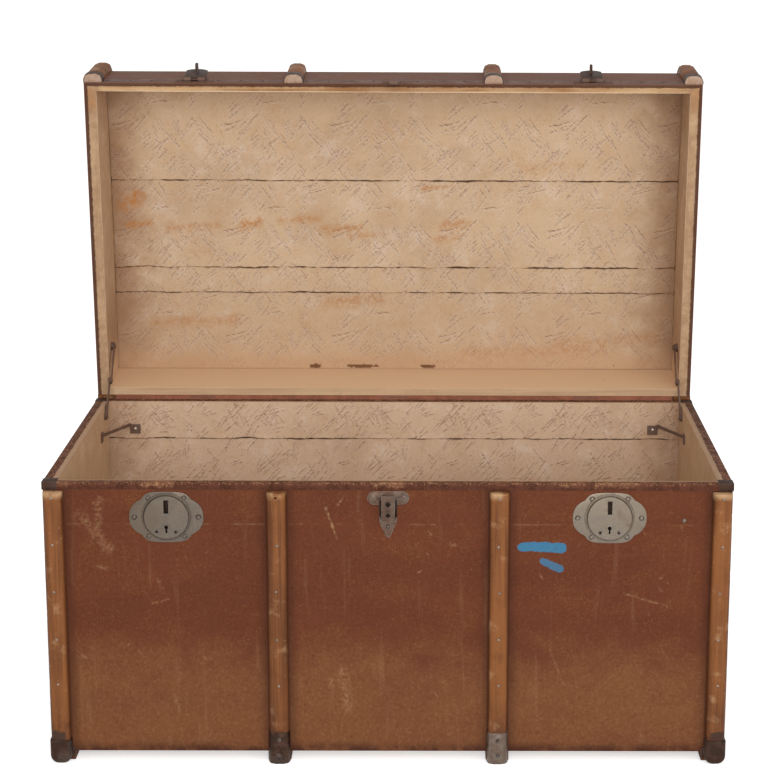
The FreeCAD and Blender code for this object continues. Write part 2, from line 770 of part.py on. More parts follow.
sub_part("lid_battens", [bent_batten(place) for place in batten_places], lid_pose)


def batten_cap(place, wall):
    """A steel band round the end of a lid batten; the end grain stays open."""
    face, out = faces[wall]
    start = lid_level + dim.lid_batten_gap
    outer = batten_section(place, face, out, dim.batten_cap_thickness)
    inner = batten_section(place, face, out)
    outer = padded("Band", "XY_Plane", outer, start, dim.batten_cap_height)
    room = padded("BandRoom", "XY_Plane", inner, start - OVERCUT, dim.batten_cap_height + 2 * OVERCUT)
    return cut(outer, [room])


batten_caps = [batten_cap(place, wall) for place in batten_places for wall in walls]
sub_part("lid_batten_caps", batten_caps, lid_pose)


# ---- hinges ---------------------------------------------------------------------------

KNUCKLES = 3
knuckle_pitch = dim.hinge_width / KNUCKLES


def hinge_leaf(place, up):
    """One hinge leaf with its share of the knuckles; the chest has the odd ones."""
    start = place - dim.hinge_width / 2
    back = dim.trunk_depth
    root_z = hinge_z + up * (dim.hinge_barrel + dim.knuckle_gap)
    end_z = hinge_z + up * dim.hinge_leaf
    low, high = (root_z, end_z) if up > 0 else (end_z, root_z)
    pieces = [box((start, back, low), (start + dim.hinge_width, back + dim.hinge_sheet, high))]
    for number in range(1 if up > 0 else 0, KNUCKLES, 2):
        near = start + knuckle_pitch * number + dim.knuckle_gap / 2
        width = knuckle_pitch - dim.knuckle_gap
        pieces.append(faceted_bar("x", (near, hinge_y, hinge_z), dim.hinge_barrel, width))
        web_low, web_high = (hinge_z, root_z) if up > 0 else (root_z, hinge_z)
        pieces.append(box((near, back, web_low), (near + width, back + dim.hinge_sheet, web_high)))
    bore_start = (start - OVERCUT, hinge_y, hinge_z)
    bore = round_bar("x", bore_start, dim.hinge_pin + dim.pin_play, dim.hinge_width + 2 * OVERCUT)
    return cut(fuse(pieces), [bore])


def headed_pin(place, width, y, z, radius):
    """A pin through a hinge with a small head at each end."""
    start = place - width / 2
    head = radius * 0.5
    pin = round_bar("x", (start, y, z), radius, width)
    left = faceted_bar("x", (start - head, y, z), radius * 1.5, head)
    right = faceted_bar("x", (start + width, y, z), radius * 1.5, head)
    return fuse([pin, left, right])


sub_part("hinge_chest_leaves", [hinge_leaf(place, -1) for place in hinge_places], chest_pose)
sub_part("hinge_lid_leaves", [hinge_leaf(place, 1) for place in hinge_places], lid_pose)
pins = [headed_pin(p, dim.hinge_width, hinge_y, hinge_z, dim.hinge_pin) for p in hinge_places]
sub_part("hinge_pins", pins, chest_pose)


# ---- locks ----------------------------------------------------------------------------

def lobed_outline(centre, level, width, height):
    """The lock plate's outline: swelling top and bottom, hollow shoulders and round ears."""
    shoulder_x, shoulder_z = width * 0.26, height * 0.48
    neck_x, neck_z = width * 0.33, height * 0.31
    ear_x, ear_z = width * 0.41, height * 0.15
    corner, hollow, ear, swell = width * 0.08, width * 0.13, width * 0.108, width * 1.1
    clockwise = [
        (-shoulder_x, shoulder_z, -swell),
        (shoulder_x, shoulder_z, -corner),
        (neck_x, neck_z, hollow),
        (ear_x, ear_z, -ear),
        (ear_x, -ear_z, hollow),
        (neck_x, -neck_z, -corner),
        (shoulder_x, -shoulder_z, -swell),
        (-shoulder_x, -shoulder_z, -corner),
        (-neck_x, -neck_z, hollow),
        (-ear_x, -ear_z, -ear),
        (-ear_x, ear_z, hollow),
        (-neck_x, neck_z, -corner),
    ]
    return [(centre + across, level + up, radius) for across, up, radius in clockwise]


def rivet_places(place):
    """The six rivets of a lock plate."""
    across, up = dim.lock_plate_width * 0.24, dim.lock_plate_height * 0.38
    ear = dim.lock_plate_width * 0.43
    spots = [(ear, sized(0)), (-ear, sized(0))]
    spots += [(across * side, up * top) for side in (-1, 1) for top in (-1, 1)]
    return [(place + x, lock_z + z) for x, z in spots]


def lock_plate(place):
    """The nickel plate with its raised disc, staple slot and ringed keyhole."""
    outline = lobed_outline(place, lock_z, dim.lock_plate_width, dim.lock_plate_height)
    plate = padded("LockPlate", "XZ_Plane", outline, 0, dim.plate_sheet)
    face = -dim.plate_sheet - dim.lock_disc_height
    disc_top = dim.lock_disc - dim.disc_slope
    disc = sloped_disc("y", (place, face, lock_z), disc_top, dim.lock_disc_height, dim.lock_disc)
    key_z = lock_z - dim.keyhole_drop
    ring_start = (place, face - dim.keyhole_ring_rise, key_z)
    ring = faceted_bar("y", ring_start, dim.keyhole + dim.keyhole_ring, dim.lock_disc_height)
    slit = dim.keyhole_slit / 2
    through = dim.plate_sheet + dim.lock_disc_height + 2 * OVERCUT
    tools = [
        box(
            (place - dim.lock_slot_width / 2, -through, slot_z - dim.lock_slot_height / 2),
            (place + dim.lock_slot_width / 2, OVERCUT, slot_z + dim.lock_slot_height / 2),
        ),
        round_bar("y", (place, -through, key_z), dim.keyhole, through + OVERCUT),
        box((place - slit, -through, key_z - dim.keyhole_slit_length), (place + slit, OVERCUT, key_z)),
    ]
    return cut(fuse([plate, disc, ring]), tools)


def rivet_top(x, surface, z):
    """The head of a rivet on a front surface."""
    return faceted_bar("y", (x, surface - dim.rivet_rise, z), dim.rivet_head, dim.rivet_rise)


def lock_case(place):
    """A tray of thin steel let into the front board, with the ledge that the bolt rides on."""
    side, half_height = dim.lock_case_width / 2, dim.lock_case_height / 2
    sheet = dim.case_sheet
    outer = box(
        (place - side, 0, lock_z - half_height),
        (place + side, dim.lock_case_depth, lock_z + half_height),
    )
    room = box(
        (place - side + sheet, -OVERCUT, lock_z - half_height + sheet),
        (place + side - sheet, dim.lock_case_depth - sheet, lock_z + half_height - sheet),
    )
    ledge_top = slot_z - dim.bolt_height / 2 - dim.pin_play
    ledge = box(
        (place - side + sheet / 2, dim.bolt_setback, ledge_top - dim.bolt_thickness),
        (place - dim.lock_slot_width / 2, dim.lock_case_depth - sheet / 2, ledge_top),
    )
    return fuse([cut(outer, [room]), ledge])


def lock_bolt(place):
    """The bolt, drawn back beside the slot; it slides to +X through the staple."""
    end = place - dim.lock_slot_width / 2 - dim.bolt_gap
    low = slot_z - dim.bolt_height / 2
    return box(
        (end - dim.bolt_length, dim.bolt_setback, low),
        (end, dim.bolt_setback + dim.bolt_thickness, low + dim.bolt_height),
    )


lock_rivets = []
for side, place in lock_places.items():
    sub_part(f"lock_plate_{side}", [lock_plate(place)], chest_pose)
    sub_part(f"lock_case_{side}", [lock_case(place)], chest_pose)
    sub_part(f"lock_bolt_{side}", [lock_bolt(place)], chest_pose)
    for x, z in rivet_places(place):
        lock_rivets.append(rivet_top(x, -dim.plate_sheet, z))
sub_part("lock_rivets", lock_rivets, chest_pose)


# ---- hasps on the lid -----------------------------------------------------------------

hasp_y = -dim.plate_sheet - dim.hasp_barrel
hasp_z = lid_level + dim.hasp_rise
hasp_pose = lid_pose.after(turned(-dim.hasp_fold, hasp_y, hasp_z))
hasp_knuckle = dim.hasp_width / 3


def eared_plate(centre, low, width, height, ear):
    """A front plate with one round ear each side at mid height."""
    side, middle = width / 2, low + height / 2
    bend = ear * EAR_BEND
    reach = side + ear * EAR_CENTRE
    outline = [
        (centre - side, low),
        (centre + side, low),
        (centre + side, middle - ear),
        (centre + reach, middle - ear, bend),
        (centre + reach, middle + ear),
        (centre + side, middle + ear),
        (centre + side, low + height),
        (centre - side, low + height),
        (centre - side, middle + ear),
        (centre - reach, middle + ear, bend),
        (centre - reach, middle - ear),
        (centre - side, middle - ear),
    ]
    return padded("EaredPlate", "XZ_Plane", outline, 0, dim.plate_sheet)


def hasp_base(place):
    """The lid's half of a hasp: eared plate, two knuckles and a domed rivet in each ear."""
    low = lid_level + dim.hasp_base_rise
    pieces = [eared_plate(place, low, dim.hasp_width, dim.hasp_base_height, dim.hasp_ear)]
    for near in (place - dim.hasp_width / 2, place + dim.hasp_width / 2 - hasp_knuckle):
        near = near + dim.knuckle_gap / 2
        width = hasp_knuckle - dim.knuckle_gap
        pieces.append(faceted_bar("x", (near, hasp_y, hasp_z), dim.hasp_barrel, width))
        pieces.append(
            box((near, hasp_y, hasp_z - dim.hasp_pin), (near + width, 0, hasp_z + dim.hasp_pin))
        )
    for side in (-1, 1):
        x = place + side * (dim.hasp_width / 2 + dim.hasp_ear * EAR_CENTRE)
        pieces.append(rivet_top(x, -dim.plate_sheet, low + dim.hasp_base_height / 2))
    bore_start = (place - dim.hasp_width, hasp_y, hasp_z)
    bore = round_bar("x", bore_start, dim.hasp_pin + dim.pin_play, dim.hasp_width * 2)
    return cut(fuse(pieces), [bore])


def hasp_leaf(place):
    """The swinging leaf, drawn as it hangs over the lock, with its knuckle and staple."""
    back = -dim.plate_sheet - dim.lock_disc_height - dim.hasp_face_gap
    face = back - dim.hasp_sheet
    top = hasp_z - dim.hasp_barrel - dim.knuckle_gap
    side = dim.hasp_width / 2
    knuckle = hasp_knuckle / 2 - dim.knuckle_gap / 2
    bend = dim.hasp_end_round
    round_start = hasp_z - dim.hasp_length + bend - root(bend * bend - side * side)
    leaf_outline = [
        (place - side, round_start, bend),
        (place + side, round_start),
        (place + side, top),
        (place - side, top),
    ]
    leaf = padded("Leaf", "XZ_Plane", leaf_outline, -back, dim.hasp_sheet)
    web = box((place - knuckle, face, top - dim.hasp_sheet), (place + knuckle, back, hasp_z))
    barrel = faceted_bar("x", (place - knuckle, hasp_y, hasp_z), dim.hasp_barrel, knuckle * 2)
    low, high = slot_z - dim.staple_height / 2, slot_z + dim.staple_height / 2
    tip = back + dim.staple_reach
    foot = back - dim.hasp_sheet / 2
    shoulder = dim.staple_height * 0.3
    outline = [
        (foot, low),
        (tip - shoulder, low, shoulder),
        (tip, low + shoulder),
        (tip, high - shoulder, shoulder),
        (tip - shoulder, high),
        (foot, high),
    ]
    staple = padded("Staple", "YZ_Plane", outline, place - dim.staple_width / 2, dim.staple_width)
    window_low = slot_z - dim.bolt_height / 2 - dim.bolt_gap
    window_high = slot_z + dim.bolt_height / 2 + dim.bolt_gap
    window_back = dim.bolt_setback + dim.bolt_thickness + dim.bolt_gap
    window = box(
        (place - dim.staple_width, dim.bolt_setback - dim.bolt_gap, window_low),
        (place + dim.staple_width, window_back, window_high),
    )
    bore_start = (place - dim.hasp_width, hasp_y, hasp_z)
    bore = round_bar("x", bore_start, dim.hasp_pin + dim.pin_play, dim.hasp_width * 2)
    return cut(fuse([leaf, web, barrel, cut(staple, [window])]), [bore])


sub_part("hasp_bases", [hasp_base(place) for place in lock_places.values()], lid_pose)
for side, place in lock_places.items():
    sub_part(f"hasp_{side}", [hasp_leaf(place)], hasp_pose)
pins = [headed_pin(p, dim.hasp_width, hasp_y, hasp_z, dim.hasp_pin) for p in lock_places.values()]
sub_part("hasp_pins", pins, lid_pose)


# ---- centre catch ---------------------------------------------------------------------

catch_top = rim_level - dim.catch_drop
lever_y = -dim.plate_sheet - dim.lever_standoff
hook_z = catch_top - dim.knuckle_gap
lever_z = hook_z - dim.lever_length
lever_pose = chest_pose.after(turned(dim.lever_lean, lever_y, lever_z))
lever_side = dim.lever_width / 2
cheek = dim.plate_sheet


def catch_base():
    """The spade-shaped base: round ears, narrow waist, wide shoulders and a pointed tip."""
    ear = dim.catch_ear
    ear_x = dim.catch_width / 2 - ear
    waist = lever_side + cheek * 2
    ear_low, shoulder_z = catch_top - ear * 2, lever_z - ear * 0.4
    tip_side, tip_z = lever_side * 0.35, catch_top - dim.catch_length + ear * 0.3
    outline = [
        (-ear_x, catch_top, ear * EAR_BEND),
        (-ear_x, ear_low),
        (-waist, ear_low),
        (-waist, shoulder_z),
        (-tip_side, tip_z, ear * 0.4),
        (tip_side, tip_z),
        (waist, shoulder_z),
        (waist, ear_low),
        (ear_x, ear_low, ear * EAR_BEND),
        (ear_x, catch_top),
    ]
    pieces = [padded("CatchBase", "XZ_Plane", outline, 0, dim.plate_sheet)]
    boss = dim.catch_pin * 2.6
    for near in (-lever_side - cheek - dim.knuckle_gap / 2, lever_side + dim.knuckle_gap / 2):
        pieces.append(faceted_bar("x", (near, lever_y, lever_z), boss, cheek))
        pieces.append(box((near, lever_y, lever_z - boss), (near + cheek, 0, lever_z + boss)))
    for side in (-1, 1):
        pieces.append(rivet_top(side * ear_x, -dim.plate_sheet, catch_top - ear))
    bore_start = (-dim.catch_width, lever_y, lever_z)
    bore = round_bar("x", bore_start, dim.catch_pin + dim.pin_play, dim.catch_width * 2)
    return cut(fuse(pieces), [bore])


lever_boss = dim.catch_pin * 2
lever_back = lever_y - lever_boss
lever_front = lever_back - dim.plate_sheet
hook_back = lever_back + dim.hook_return


def catch_lever():
    """A pressed channel that turns on the pin; its top edge bends in as the hook."""
    sheet = dim.plate_sheet
    face = box((-lever_side, lever_front, lever_z), (lever_side, lever_back, hook_z))
    hook = box((-lever_side, lever_front, hook_z - sheet), (lever_side, hook_back, hook_z))
    pieces = [face, hook]
    flange_top = hook_z - dim.lever_width / 2
    for near in (-lever_side, lever_side - sheet):
        pieces.append(box((near, lever_front, lever_z), (near + sheet, lever_y, flange_top)))
        pieces.append(faceted_bar("x", (near, lever_y, lever_z), lever_boss, sheet))
    holes = []
    for share in (0.36, 0.74):
        hole_start = (0, lever_front - OVERCUT, hook_z - dim.lever_length * share)
        holes.append(faceted_bar("y", hole_start, dim.lever_hole, 2 * OVERCUT, 4))
    bore_start = (-dim.catch_width, lever_y, lever_z)
    bore = round_bar("x", bore_start, dim.catch_pin + dim.pin_play, dim.catch_width * 2)
    return cut(fuse(pieces), holes + [bore])


def catch_keeper():
    """The lid's keeper: a riveted plate with a nose that hangs below the rim to the hook."""
    sheet = dim.plate_sheet
    low = lid_level + dim.keeper_rise
    high = low + dim.keeper_height
    nose_side, plate_side = dim.keeper_nose / 2, dim.keeper_width / 2
    nose_back = -sheet - dim.knuckle_gap
    nose_front = nose_back - sheet
    nose_top = low + dim.keeper_height * 0.6
    lip_top = hook_z - sheet - dim.hook_gap
    lip_front = lever_back + dim.knuckle_gap
    pieces = [
        box((-plate_side, -sheet, low), (plate_side, 0, high)),
        box((-nose_side, nose_front, low), (nose_side, 0, nose_top)),
        box((-nose_side, nose_front, lip_top - sheet), (nose_side, nose_back, nose_top)),
        box((-nose_side, lip_front, lip_top - sheet), (nose_side, nose_back, lip_top)),
    ]
    for side in (-1, 1):
        rivet_x = side * (nose_side + plate_side) / 2
        pieces.append(rivet_top(rivet_x, -sheet, (low + high) / 2))
    return fuse(pieces)


sub_part("catch_base", [catch_base()], chest_pose)
sub_part("catch_lever", [catch_lever()], lever_pose)
pin_width = dim.lever_width + cheek * 2 + dim.knuckle_gap
sub_part("catch_pin", [headed_pin(sized(0), pin_width, lever_y, lever_z, dim.catch_pin)], chest_pose)
sub_part("catch_keeper", [catch_keeper()], lid_pose)


# ---- lid stays ------------------------------------------------------------------------

stay_chest_y = hinge_y - dim.stay_chest_reach
stay_chest_z = hinge_z - dim.stay_chest_drop
stay_lid_y = hinge_y - dim.stay_lid_reach
stay_lid_z = hinge_z + dim.stay_lid_rise
# The open lid's pivot, seen from the hinge axis, gives the length of the straight stay.
open_turn = Pose(-dim.lid_open_angle, 0, 0)
open_y, open_z = open_turn.point(-dim.stay_lid_reach, dim.stay_lid_rise)
across, up = open_y + dim.stay_chest_reach, open_z + dim.stay_chest_drop
stay_length = root(across * across + up * up)
arm_length = stay_length / 2
stay_angle = math.degrees(math.atan2(up.value, across.value))
ARM_FLANK = 0.9  # half width of an arm's straight flanks, as a share of its round ends' radius
HEAD_SHARE = 1.8  # radius of a stay rivet's head over its shank's
WASHER_GAP = 0.1  # pivot washer to the arm that turns on it


def arm(start_x, y, z, angle, head_side):
    """A flat stay arm from its pivot at y, z, leaning at an angle from +Y towards +Z.

    Its far end carries the head of the knuckle rivet on the side that faces away from the
    other arm.
    """
    sheet = dim.stay_sheet
    half = dim.stay_arm_width / 2
    flank = half * ARM_FLANK
    step = root(half * half - flank * flank)
    outline = [
        (-step, -flank),
        (arm_length + step, -flank, half),
        (arm_length + step, flank),
        (-step, flank, half),
    ]
    body = padded("Arm", "YZ_Plane", outline, 0, sheet)
    head_x = sheet if head_side > 0 else -dim.stay_head_rise
    head = faceted_bar("x", (head_x, arm_length, 0), dim.stay_pivot * HEAD_SHARE, dim.stay_head_rise)
    bore = round_bar("x", (-OVERCUT, 0, 0), dim.stay_pivot + dim.pin_play, sheet + 2 * OVERCUT)
    piece = cut(fuse([body, head]), [bore])
    holder = document.addObject("Part::Compound", "ArmInPlace")
    holder.Links = [piece]
    holder.Placement = Placement(
        Vector(start_x.value, y.value, z.value), Rotation(Vector(1, 0, 0), angle)
    )
    bind(holder, "Placement.Base.x", start_x)
    bind(holder, "Placement.Base.y", y)
    bind(holder, "Placement.Base.z", z)
    return holder


def pivot(side, y, z, washer):
    """A wall washer with a rivet that carries one arm against it."""
    shank = washer + dim.stay_sheet + dim.stay_play
    start = end_clear - washer if side > 0 else -end_clear
    pieces = [faceted_bar("x", (start, y, z), dim.stay_washer, washer)]
    shank_start = end_clear - shank if side > 0 else -end_clear
    pieces.append(round_bar("x", (shank_start, y, z), dim.stay_pivot, shank))
    rise = dim.stay_head_rise
    head_start = end_clear - shank - rise if side > 0 else shank - end_clear
    pieces.append(faceted_bar("x", (head_start, y, z), dim.stay_pivot * HEAD_SHARE, rise))
    return fuse(pieces)


lower_gap = dim.stay_wall_gap
upper_gap = lower_gap + dim.stay_sheet + dim.stay_play
chest_pivots, lid_pivots = [], []
for side, sign in (("left", -1), ("right", 1)):
    chest_pivots.append(pivot(sign, stay_chest_y, stay_chest_z, lower_gap - WASHER_GAP))
    lid_pivots.append(pivot(sign, stay_lid_y, stay_lid_z, upper_gap - WASHER_GAP))
    lower_x = end_clear - lower_gap - dim.stay_sheet if sign > 0 else lower_gap - end_clear
    upper_x = end_clear - upper_gap - dim.stay_sheet if sign > 0 else upper_gap - end_clear
    lower = arm(lower_x, stay_chest_y, stay_chest_z, stay_angle, sign)
    sub_part(f"stay_lower_arm_{side}", [lower], chest_pose)
    y, z = hinge_y + open_y, hinge_z + open_z
    upper = arm(upper_x, y, z, stay_angle + 180, -sign)
    sub_part(f"stay_upper_arm_{side}", [upper], chest_pose)
sub_part("stay_chest_pivots", chest_pivots, chest_pose)
sub_part("stay_lid_pivots", lid_pivots, lid_pose)


# ---- tray brackets --------------------------------------------------------------------

def tray_bracket(side, at_back):
    """A bent strip across an inner corner: a leg on the end wall and one on the long wall."""
    sheet = dim.bracket_sheet
    corner = [
        (sized(0), dim.bracket_side + dim.bracket_leg),
        (sized(0), dim.bracket_side),
        (dim.bracket_reach, sized(0)),
        (dim.bracket_reach + dim.bracket_leg, sized(0)),
        (dim.bracket_reach + dim.bracket_leg, sheet),
        (dim.bracket_reach + sheet * 0.6, sheet),
        (sheet, dim.bracket_side + sheet * 0.25),
        (sheet, dim.bracket_side + dim.bracket_leg),
    ]
    wall_y = back_clear if at_back else front_clear
    outline = []
    for inward, along in corner:
        x = end_clear - inward if side > 0 else inward - end_clear
        outline.append((x, wall_y - along if at_back else wall_y + along))
    top = rim_level - dim.bracket_drop
    return padded("Bracket", "XY_Plane", outline, top - dim.bracket_height, dim.bracket_height)


brackets = [tray_bracket(side, at_back) for side in (-1, 1) for at_back in (False, True)]
sub_part("tray_brackets", brackets, chest_pose)


# ---- end handles ----------------------------------------------------------------------

def mirror_x(thing, side):
    """A piece drawn for the right end, or its mirror image for the left end."""
    if side > 0:
        return thing
    mirrored = document.addObject("Part::Mirroring", "Mirrored")
    mirrored.Source = thing
    mirrored.Normal = Vector(1, 0, 0)
    return mirrored


handle_x = half_width + dim.handle_sheet + dim.handle_axis_gap
lug_radius = dim.handle_rod + dim.lug_wall
handle_half = dim.handle_span / 2
BAIL_GAP = 1  # lug to the bend of the bail's rod
ROD_SIDES = 10  # flats round the forged rod of a bail
BEND_FACETS = 4  # straight steps in each of its bends


def handle_plate():
    """The stamped plate on an end, with the two pierced lugs of the bail."""
    low = dim.handle_height - dim.handle_plate_drop
    reach = handle_half + dim.handle_plate_margin
    near_y, far_y = mid_depth - reach, mid_depth + reach
    high = low + dim.handle_plate_height
    bevel = dim.handle_plate_bevel
    outline = [
        (near_y + bevel, low),
        (far_y - bevel, low),
        (far_y, low + bevel),
        (far_y, high - bevel),
        (far_y - bevel, high),
        (near_y + bevel, high),
        (near_y, high - bevel),
        (near_y, low + bevel),
    ]
    pieces = [padded("HandlePlate", "YZ_Plane", outline, half_width, dim.handle_sheet)]
    for side in (-1, 1):
        y = mid_depth + side * handle_half - dim.lug_width / 2
        pieces.append(faceted_bar("y", (handle_x, y, dim.handle_height), lug_radius, dim.lug_width))
        lug_low = (half_width, y, dim.handle_height - lug_radius)
        lug_high = (handle_x, y + dim.lug_width, dim.handle_height + lug_radius)
        pieces.append(box(lug_low, lug_high))
    bore_start = (handle_x, mid_depth - handle_half * 2, dim.handle_height)
    bore = round_bar("y", bore_start, dim.handle_rod + dim.pin_play, handle_half * 4)
    return cut(fuse(pieces), [bore])


def bend_points(y, z, radius, first_angle):
    """The corners of a forged quarter bend about y, z, anticlockwise from an angle."""
    points = []
    for number in range(BEND_FACETS + 1):
        turn = math.radians(first_angle + 90 * number / BEND_FACETS)
        points.append((y + radius * math.cos(turn), z + radius * math.sin(turn)))
    return points


def bail():
    """The steel bail: a rod bent into a U, its two ends turned inwards through the lugs."""
    body = document.addObject("PartDesign::Body", "Bail")
    bend = dim.handle_bend
    small = dim.handle_rod + BAIL_GAP
    arm_y = handle_half + dim.lug_width / 2 + BAIL_GAP + small
    top = dim.handle_height
    low = top - dim.handle_drop
    path = body.newObject("Sketcher::SketchObject", "Path")
    base = [plane for plane in body.Origin.OriginFeatures if plane.Role == "YZ_Plane"]
    path.AttachmentSupport = [(base[0], "")]
    path.MapMode = "FlatFace"
    bind(path, "AttachmentOffset.Base.z", handle_x)
    inner = handle_half - dim.lug_width / 2 - 2 * BAIL_GAP
    left_arm, right_arm = mid_depth - arm_y, mid_depth + arm_y
    route = [(mid_depth - inner, top)]
    route += bend_points(left_arm + small, top - small, small, 90)
    route += bend_points(left_arm + bend, low + bend, bend, 180)
    route += bend_points(right_arm - bend, low + bend, bend, 270)
    route += bend_points(right_arm - small, top - small, small, 0)
    route.append((mid_depth + inner, top))
    draw(path, route)
    path.delGeometry(len(route) - 1)
    section = body.newObject("Sketcher::SketchObject", "Section")
    base = [plane for plane in body.Origin.OriginFeatures if plane.Role == "XZ_Plane"]
    section.AttachmentSupport = [(base[0], "")]
    section.MapMode = "FlatFace"
    bind(section, "AttachmentOffset.Base.z", inner - mid_depth)
    rod = []
    for number in range(ROD_SIDES):
        turn = 2 * math.pi * number / ROD_SIDES
        rod.append((handle_x + dim.handle_rod * math.cos(turn), top + dim.handle_rod * math.sin(turn)))
    draw(section, rod)
    sweep = body.newObject("PartDesign::AdditivePipe", "Sweep")
    sweep.Profile = section
    sweep.Spine = path
    sweep.Transition = "Right corner"
    body.Tip = sweep
    return body


for side, sign in (("left", -1), ("right", 1)):
    sub_part(f"handle_plate_{side}", [mirror_x(handle_plate(), sign)], chest_pose)
    sub_part(f"handle_bail_{side}", [mirror_x(bail(), sign)], chest_pose)


# ---- build, test and write ------------------------------------------------------------

document.recompute()
os.makedirs("parts", exist_ok=True)
for thing in document.Objects:
    if "Invalid" in thing.State or "Error" in thing.State:
        raise RuntimeError(f"{thing.Name} ({thing.Label}) failed: {thing.State}")
for part in sub_parts:
    if part.Shape.isNull() or not part.Shape.isValid() or not part.Shape.Solids:
        raise RuntimeError(f"{part.Label} has no valid solid")
    part.Shape.exportStep(f"parts/{part.Label}.step")
    bounds = part.Shape.BoundBox
    print(f"{part.Label}: {len(part.Shape.Solids)} solids, {part.Shape.Volume / 1000:.1f} cm3, "
          f"z {bounds.ZMin:.1f} to {bounds.ZMax:.1f}")
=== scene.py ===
"""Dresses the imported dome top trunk: paint, varnish, paper, nails and worn steel.

Lengths are in metres. The open lid is modelled as it stands; points named closed are where
they lie when the lid is shut.
"""

import json
import math
import random

import bmesh
import bpy
import numpy as np
from bpy.props import FloatProperty, FloatVectorProperty, IntProperty, PointerProperty
from mathutils import Euler, Matrix, Vector, noise
from mathutils.bvhtree import BVHTree


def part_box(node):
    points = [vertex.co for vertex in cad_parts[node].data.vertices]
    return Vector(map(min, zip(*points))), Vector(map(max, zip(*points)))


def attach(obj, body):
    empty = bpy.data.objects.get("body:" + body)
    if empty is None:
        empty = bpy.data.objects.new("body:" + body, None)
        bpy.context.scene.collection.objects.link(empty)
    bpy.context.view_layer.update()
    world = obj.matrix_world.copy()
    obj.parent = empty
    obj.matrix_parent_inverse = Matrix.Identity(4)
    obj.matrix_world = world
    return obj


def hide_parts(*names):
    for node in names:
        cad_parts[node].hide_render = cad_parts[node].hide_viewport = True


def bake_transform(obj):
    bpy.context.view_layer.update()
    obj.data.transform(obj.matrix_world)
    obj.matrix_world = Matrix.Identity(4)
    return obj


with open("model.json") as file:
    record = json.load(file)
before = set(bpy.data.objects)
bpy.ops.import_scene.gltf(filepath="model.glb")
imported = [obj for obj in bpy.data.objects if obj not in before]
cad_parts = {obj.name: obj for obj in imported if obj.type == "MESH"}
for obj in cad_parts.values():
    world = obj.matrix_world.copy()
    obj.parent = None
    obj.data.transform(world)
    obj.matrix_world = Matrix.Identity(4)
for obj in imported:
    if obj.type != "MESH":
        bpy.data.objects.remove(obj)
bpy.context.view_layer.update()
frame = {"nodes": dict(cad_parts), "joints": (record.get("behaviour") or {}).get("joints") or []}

bl_info = {
    "name": "Dome Top Trunk",
    "version": (1, 0, 0),
    "blender": (4, 5, 0),
    "location": "3D View > Sidebar > Trunk",
    "description": "Finishes an old travel trunk with worn canvas, battens, paper and steel",
    "category": "Add Mesh",
}


# ---- sizes and colours that a user would change ---------------------------------------

def linear(red, green, blue):
    """A paint colour of 0 to 255 as linear light with full alpha."""
    shares = [channel / 255 for channel in (red, green, blue)]
    return tuple(c / 12.92 if c <= 0.04045 else ((c + 0.055) / 1.055) ** 2.4 for c in shares) + (1,)


def length(label, description, default):
    return FloatProperty(
        name=label, description=description, default=default, min=0, precision=4, subtype="DISTANCE",
        unit="LENGTH",
    )


def colour(label, description, red, green, blue):
    return FloatVectorProperty(
        name=label, description=description, size=4, min=0, max=1, subtype="COLOR",
        default=linear(red, green, blue),
    )


class TrunkSizes(bpy.types.PropertyGroup):
    """Sizes of the trunk's small parts and of its wear"""

    batten_round: length("Batten rounding", "Rounding of a batten's outer edges", 0.009)
    batten_wear: length("Batten wear", "How unevenly the battens are worn", 0.0005)
    nail_radius: length("Nail head", "Radius of a batten nail's head", 0.0022)
    nail_rise: length("Nail rise", "How far a nail's head stands out", 0.0010)
    nail_pitch: length("Nail spacing", "Between the nails of a batten", 0.0716)
    tack_radius: length("Tack head", "Radius of a tape tack's head", 0.0026)
    tack_pitch: length("Tack spacing", "Between the tacks of the lid's tape", 0.036)
    rivet_radius: length("Rivet head", "Radius of a lock rivet's head", 0.0034)
    paper: length("Paper", "Thickness of the lining paper", 0.0008)
    paper_step: length("Paper mesh", "Grid of the embossed paper", 0.0019)
    emboss: length("Emboss", "Height of the paper's embossed strokes", 0.0006)
    crack: length("Crack", "Half the gap where the paper split over a plank joint", 0.0006)
    seed: IntProperty(name="Seed", description="Chooses the wear and the strokes", default=7)


